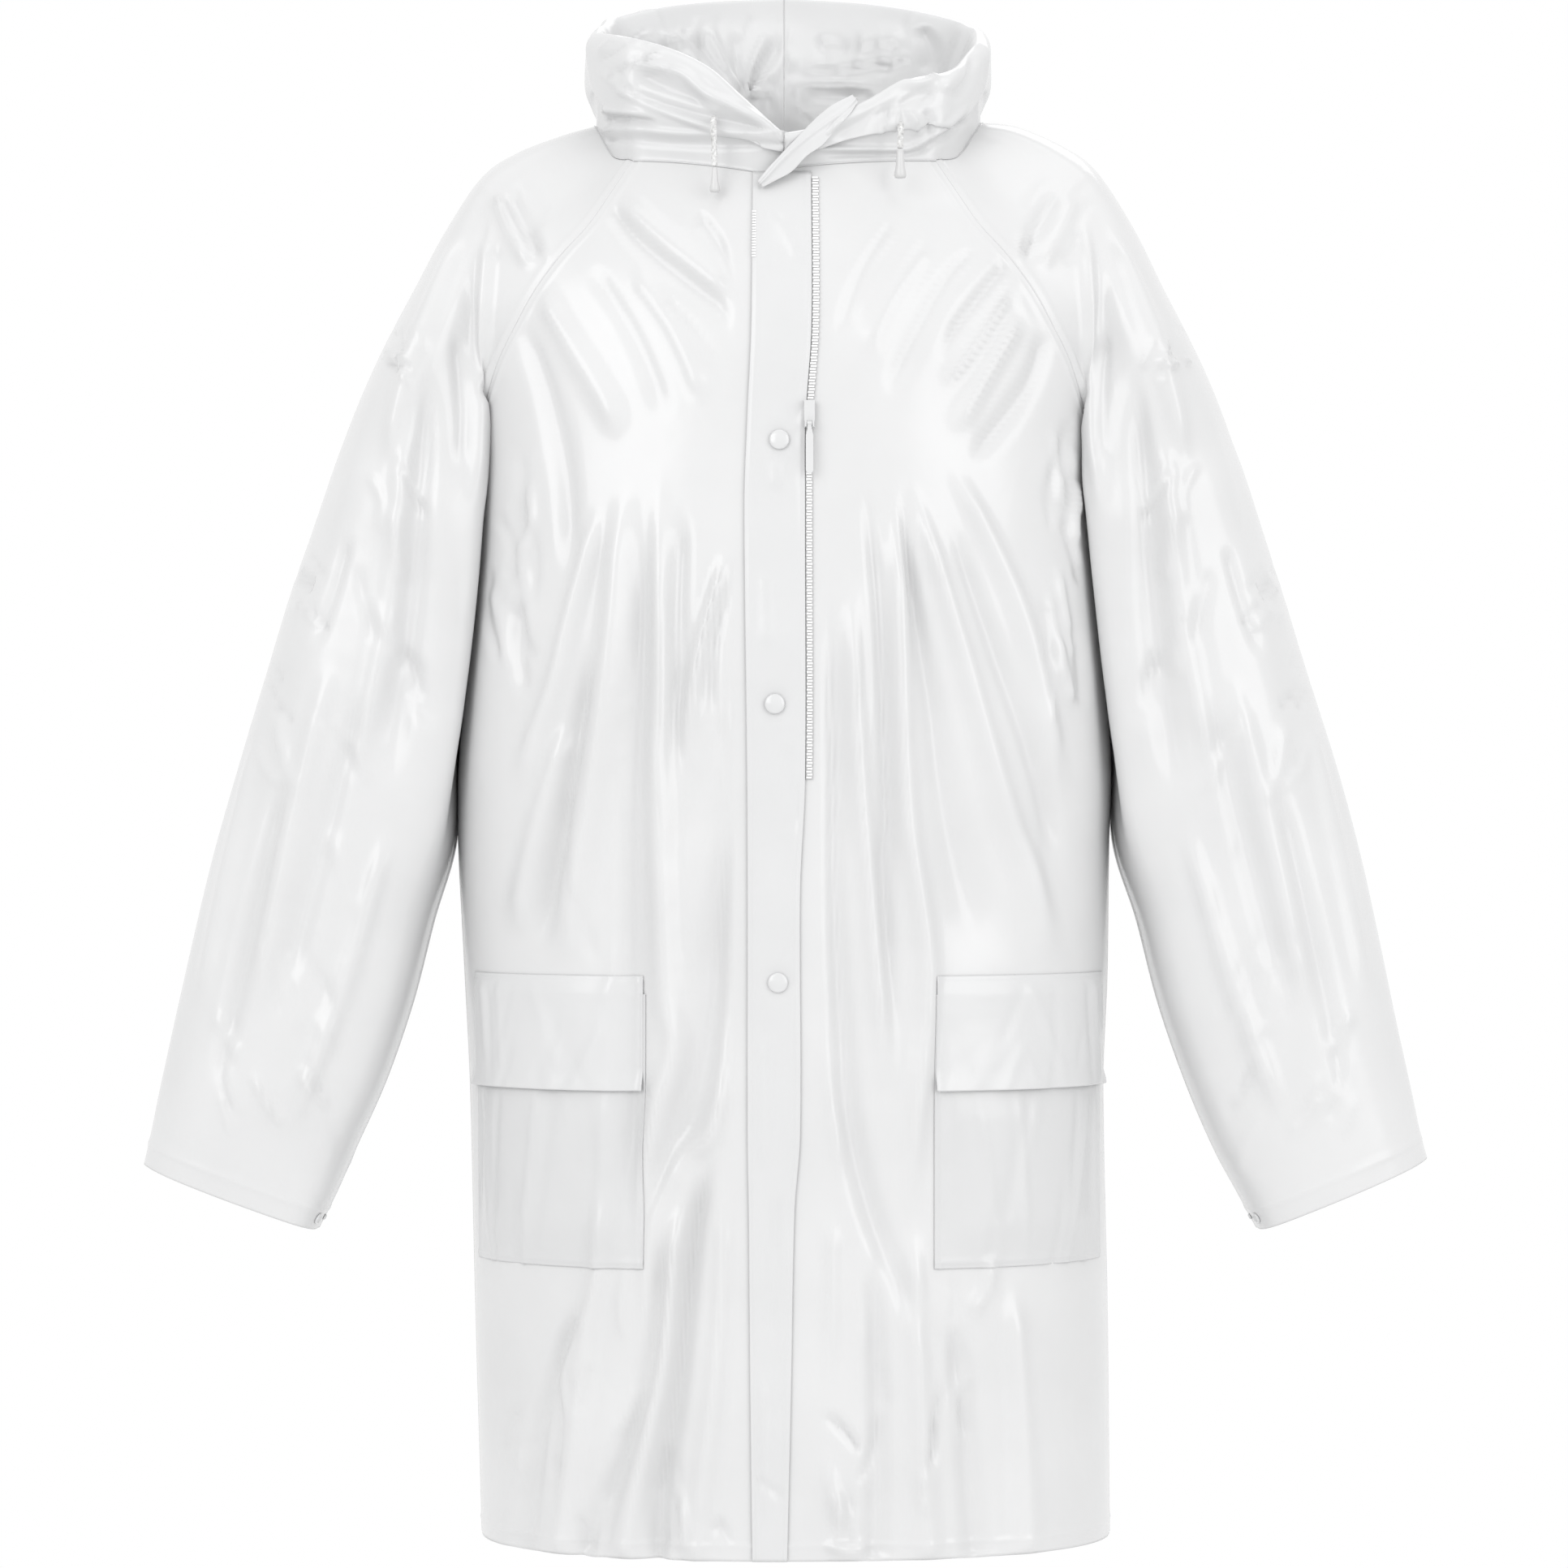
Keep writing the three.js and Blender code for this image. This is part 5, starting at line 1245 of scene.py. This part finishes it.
def pocket_piece(kind, label, side, outer, seed):
    """A bag or a flap, as far as its solid reaches but not past outer."""
    node = "pocket_" + kind + "_" + label
    low, high = (np.array(corner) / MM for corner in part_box(node))
    near_x, far_x = sorted((abs(low[0]), abs(high[0])))
    top, bottom = high[2], low[2]
    z = top + (bottom - top) * spaced(top - bottom, 3.2, edge=POCKET_POINTS)
    zz, across = np.meshgrid(z, spaced(POCKET_WIDTH, 3.2, edge=POCKET_POINTS), indexing="ij")
    start = torso_angle(side, np.full(len(z), near_x + 1.5), z, True)[:, None]
    widest = torso("right" if side < 0 else "left", z) - 1.5
    end = torso_angle(side, np.minimum(min(far_x - 2.5, outer), widest), z, True)[:, None]
    angle = start + (end - start) * across
    flat = front_base(angle, side, zz)
    under, above = top - zz, zz - bottom
    down = under / (top - bottom)
    edge = np.minimum(across, 1 - across) * POCKET_WIDTH
    if kind == "bag":
        rise, strength = bag_rise(edge, under, above)
        material, slot = pocket_film, "film"
    else:
        rise, strength = flap_rise(edge, under, across, down)
        material, slot = double_film, "double_film"
    rise = rise + strength * pocket_wrinkles(seed, edge, across, down)
    grid = front_surface(side, angle, zz) + radial(flat) * rise[..., None]
    return finished(shell(node + "_film", grid, radial(flat), material), node)


bag_right = pocket_piece("bag", "right", -1, 206.0, 61)
flap_right = pocket_piece("flap", "right", -1, 206.0, 62)
bag_left = pocket_piece("bag", "left", 1, 213.0, 67)
flap_left = pocket_piece("flap", "left", 1, 213.0, 68)


# The turned-out strip at the top of the closing
NECK_STRIP = (
    (-16, -106.2, -44), (-3, -106, -33), (11, -104.8, -20), (25, -101.2, -6), (37, -97.2, 6), (47, -92.8, 15)
)


STRIP_UPPER = {"along": (0, 0.15, 0.4, 0.7, 1), "half": (2.6, 5.0, 6.8, 7.0, 2.6)}
STRIP_LOWER = {
    "along": (0, 0.12, 0.25, 0.4, 0.52, 0.66, 0.85, 1),
    "half": (2.4, 4.6, 7.2, 6.4, 8.4, 7.4, 6.0, 3.2),
}
STRIP_SLANT = math.radians(42)


def neck_strip():
    """A torn-looking tongue of double film: narrow at its lower end, with a wavy lower edge."""
    cross = np.array([-math.sin(STRIP_SLANT), 0, math.cos(STRIP_SLANT)])
    along = np.linspace(0, 1, 60)
    line = catmull(NECK_STRIP, along) - np.array([0, WALL, 0])
    share = np.linspace(-1, 1, 19)
    upper = hermite(STRIP_UPPER["along"], STRIP_UPPER["half"], along)
    lower = hermite(STRIP_LOWER["along"], STRIP_LOWER["half"], along)
    offset = np.where(share[None, :] > 0, share[None, :] * upper[:, None], share[None, :] * lower[:, None])
    grid = line[:, None] + cross * offset[..., None]
    fold = 1.5 * np.exp(-(((share[None, :] - 0.1 - 0.4 * np.sin(along * 5)[:, None]) / 0.28) ** 2))
    curl = 1.4 * np.abs(np.minimum(share, 0)) ** 3 * (0.5 + 0.5 * np.sin(along * 17))[:, None]
    grid[..., 1] -= fold + curl
    obj = shell("neck_strip_film", grid, forwards(grid), double_film)
    return finished(obj, "neck_strip")


strip = neck_strip()

# Cords: the solids' own routes, from the slit in the hood to the end piece
CORD_ROUTES = {
    "right": [
        (-46.4, -99.8, 0), (-46.4, -101, 0), (-46.4, -102.6, -0.1), (-46.4, -104.1, -0.5),
        (-46.4, -105.6, -1.3), (-46.4, -107, -2.3), (-46.4, -108.4, -3.8), (-46.4, -109.2, -5.3),
        (-46.3, -109.9, -7.4),
        (-46.3, -110, -9), (-46.2, -110, -12), (-46.1, -110, -15), (-46, -109.9, -18), (-45.9, -109.8, -21),
        (-45.8, -109.7, -24), (-45.7, -109.6, -27), (-45.6, -109.5, -30), (-45.5, -109.4, -32),
    ],
    "left": [
        (76.8, -91.4, -6.8), (76.8, -92.6, -5.6), (76.8, -94.4, -4.2), (76.8, -96.4, -3.4),
        (76.8, -98.6, -3.1), (76.8, -100.8, -3.4), (76.8, -102.8, -4.2), (76.7, -104.6, -5.6),
        (76.7, -106, -7.4),
        (76.6, -106.8, -9.4), (76.6, -107.1, -11.6), (76.5, -107.1, -13.6), (76.5, -107.1, -15.6),
        (76.4, -107.1, -17.8), (76.4, -107.1, -20),
    ],
}
CORD_RADIUS = 2.0
CORD_END_PROFILES = {
    "right": [
        (0.5, 0), (1.3, -0.3), (1.7, -1.0), (2.0, -5), (2.5, -10),
        (3.2, -13), (3.4, -15.2), (3.0, -16.6), (2.0, -17), (0.4, -17),
    ],
    "left": [
        (0.5, 0), (1.7, -0.3), (2.2, -1.0), (2.5, -6), (3.0, -12),
        (3.8, -15.5), (4.0, -17.8), (3.5, -19.1), (2.3, -19.5), (0.4, -19.5),
    ],
}


WEAVE = 0.2  # height of the braid's strands
WEAVE_TURNS = 1.15  # how fast they wind, in radians a millimetre


def braided(label, route):
    """A braided cord round its route: two sets of strands raise a weave on the tube."""
    line = catmull(route, np.linspace(0, 1, 90))
    wound = run_lengths(line)[:, None] * WEAVE_TURNS
    tangent = np.gradient(line, axis=0)
    tangent /= np.linalg.norm(tangent, axis=1, keepdims=True)
    across = np.array([1.0, 0, 0]) - tangent * tangent[:, :1]
    across /= np.linalg.norm(across, axis=1, keepdims=True)
    over = np.cross(tangent, across)
    sides = 24
    turn = 2 * math.pi * np.arange(sides)[None, :] / sides
    weave = np.maximum(np.abs(np.sin(2 * turn + wound)), np.abs(np.sin(2 * turn - wound)))
    radius = CORD_RADIUS - 0.17 + WEAVE * weave
    round_it = across[:, None] * np.cos(turn)[..., None] + over[:, None] * np.sin(turn)[..., None]
    points = (line[:, None] + radius[..., None] * round_it).reshape(-1, 3)
    cord = make("cord_" + label + "_braid", points, ring_faces(len(line), sides), cord_cloth)
    return finished(cord, "cord_" + label)


for label, route in CORD_ROUTES.items():
    braid = braided(label, route)
    points, faces = turned(CORD_END_PROFILES[label][::-1], 28)
    x, y, z = route[-1]
    end = make("cord_end_" + label + "_cone", np.array(points) + (x, y, z - GAP), faces, end_plastic)
    finished(end, "cord_end_" + label)

for name in ("zip_slider", "zip_pull"):
    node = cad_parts[name]
    node.data.materials.clear()
    node.data.materials.append(metal)

# Floor, lights and surroundings
def floor():
    sides = 96
    points = [(0.0, 0.0, 0.0)]
    for k in range(sides):
        turn = 2 * math.pi * k / sides
        points.append((FLOOR_RADIUS * math.cos(turn), FLOOR_RADIUS * math.sin(turn), 0.0))
    mesh = bpy.data.meshes.new("floor")
    mesh.from_pydata(points, [], [(0, 1 + k, 1 + (k + 1) % sides) for k in range(sides)])
    mesh.materials.append(procedural("floor", greys(0.86, 0.9), 0.8, [(40, 0.05, 0.001, 2)]))
    linked("floor", mesh, (0, 0, FLOOR_Z))


def area_light(name, place, target, size, watts):
    data = bpy.data.lights.new(name, "AREA")
    data.shape = "RECTANGLE"
    data.size, data.size_y = size
    data.energy = watts
    direction = Vector(target) - Vector(place)
    linked(name, data, place).rotation_euler = direction.to_track_quat("-Z", "Y").to_euler()


floor()
area_light("key", (-2.2, -3.2, 1.2), (0, 0, -0.4), (2.4, 2.8), 47)
area_light("fill", (2.6, -2.8, 0.6), (0, 0, -0.4), (2.4, 2.8), 36)
area_light("top", (0.3, -0.6, 2.6), (0, 0, -0.2), (2.0, 1.4), 8)
area_light("rear", (0.7, 2.8, 2.4), (0, 0, -0.5), (2.4, 1.8), 16)

world = bpy.data.worlds.new("studio")
world.use_nodes = True
background = world.node_tree.nodes["Background"]
background.inputs["Color"].default_value = (1, 1, 1, 1)
background.inputs["Strength"].default_value = 1.0
bpy.context.scene.world = world
bpy.context.scene.view_settings.view_transform = "Standard"
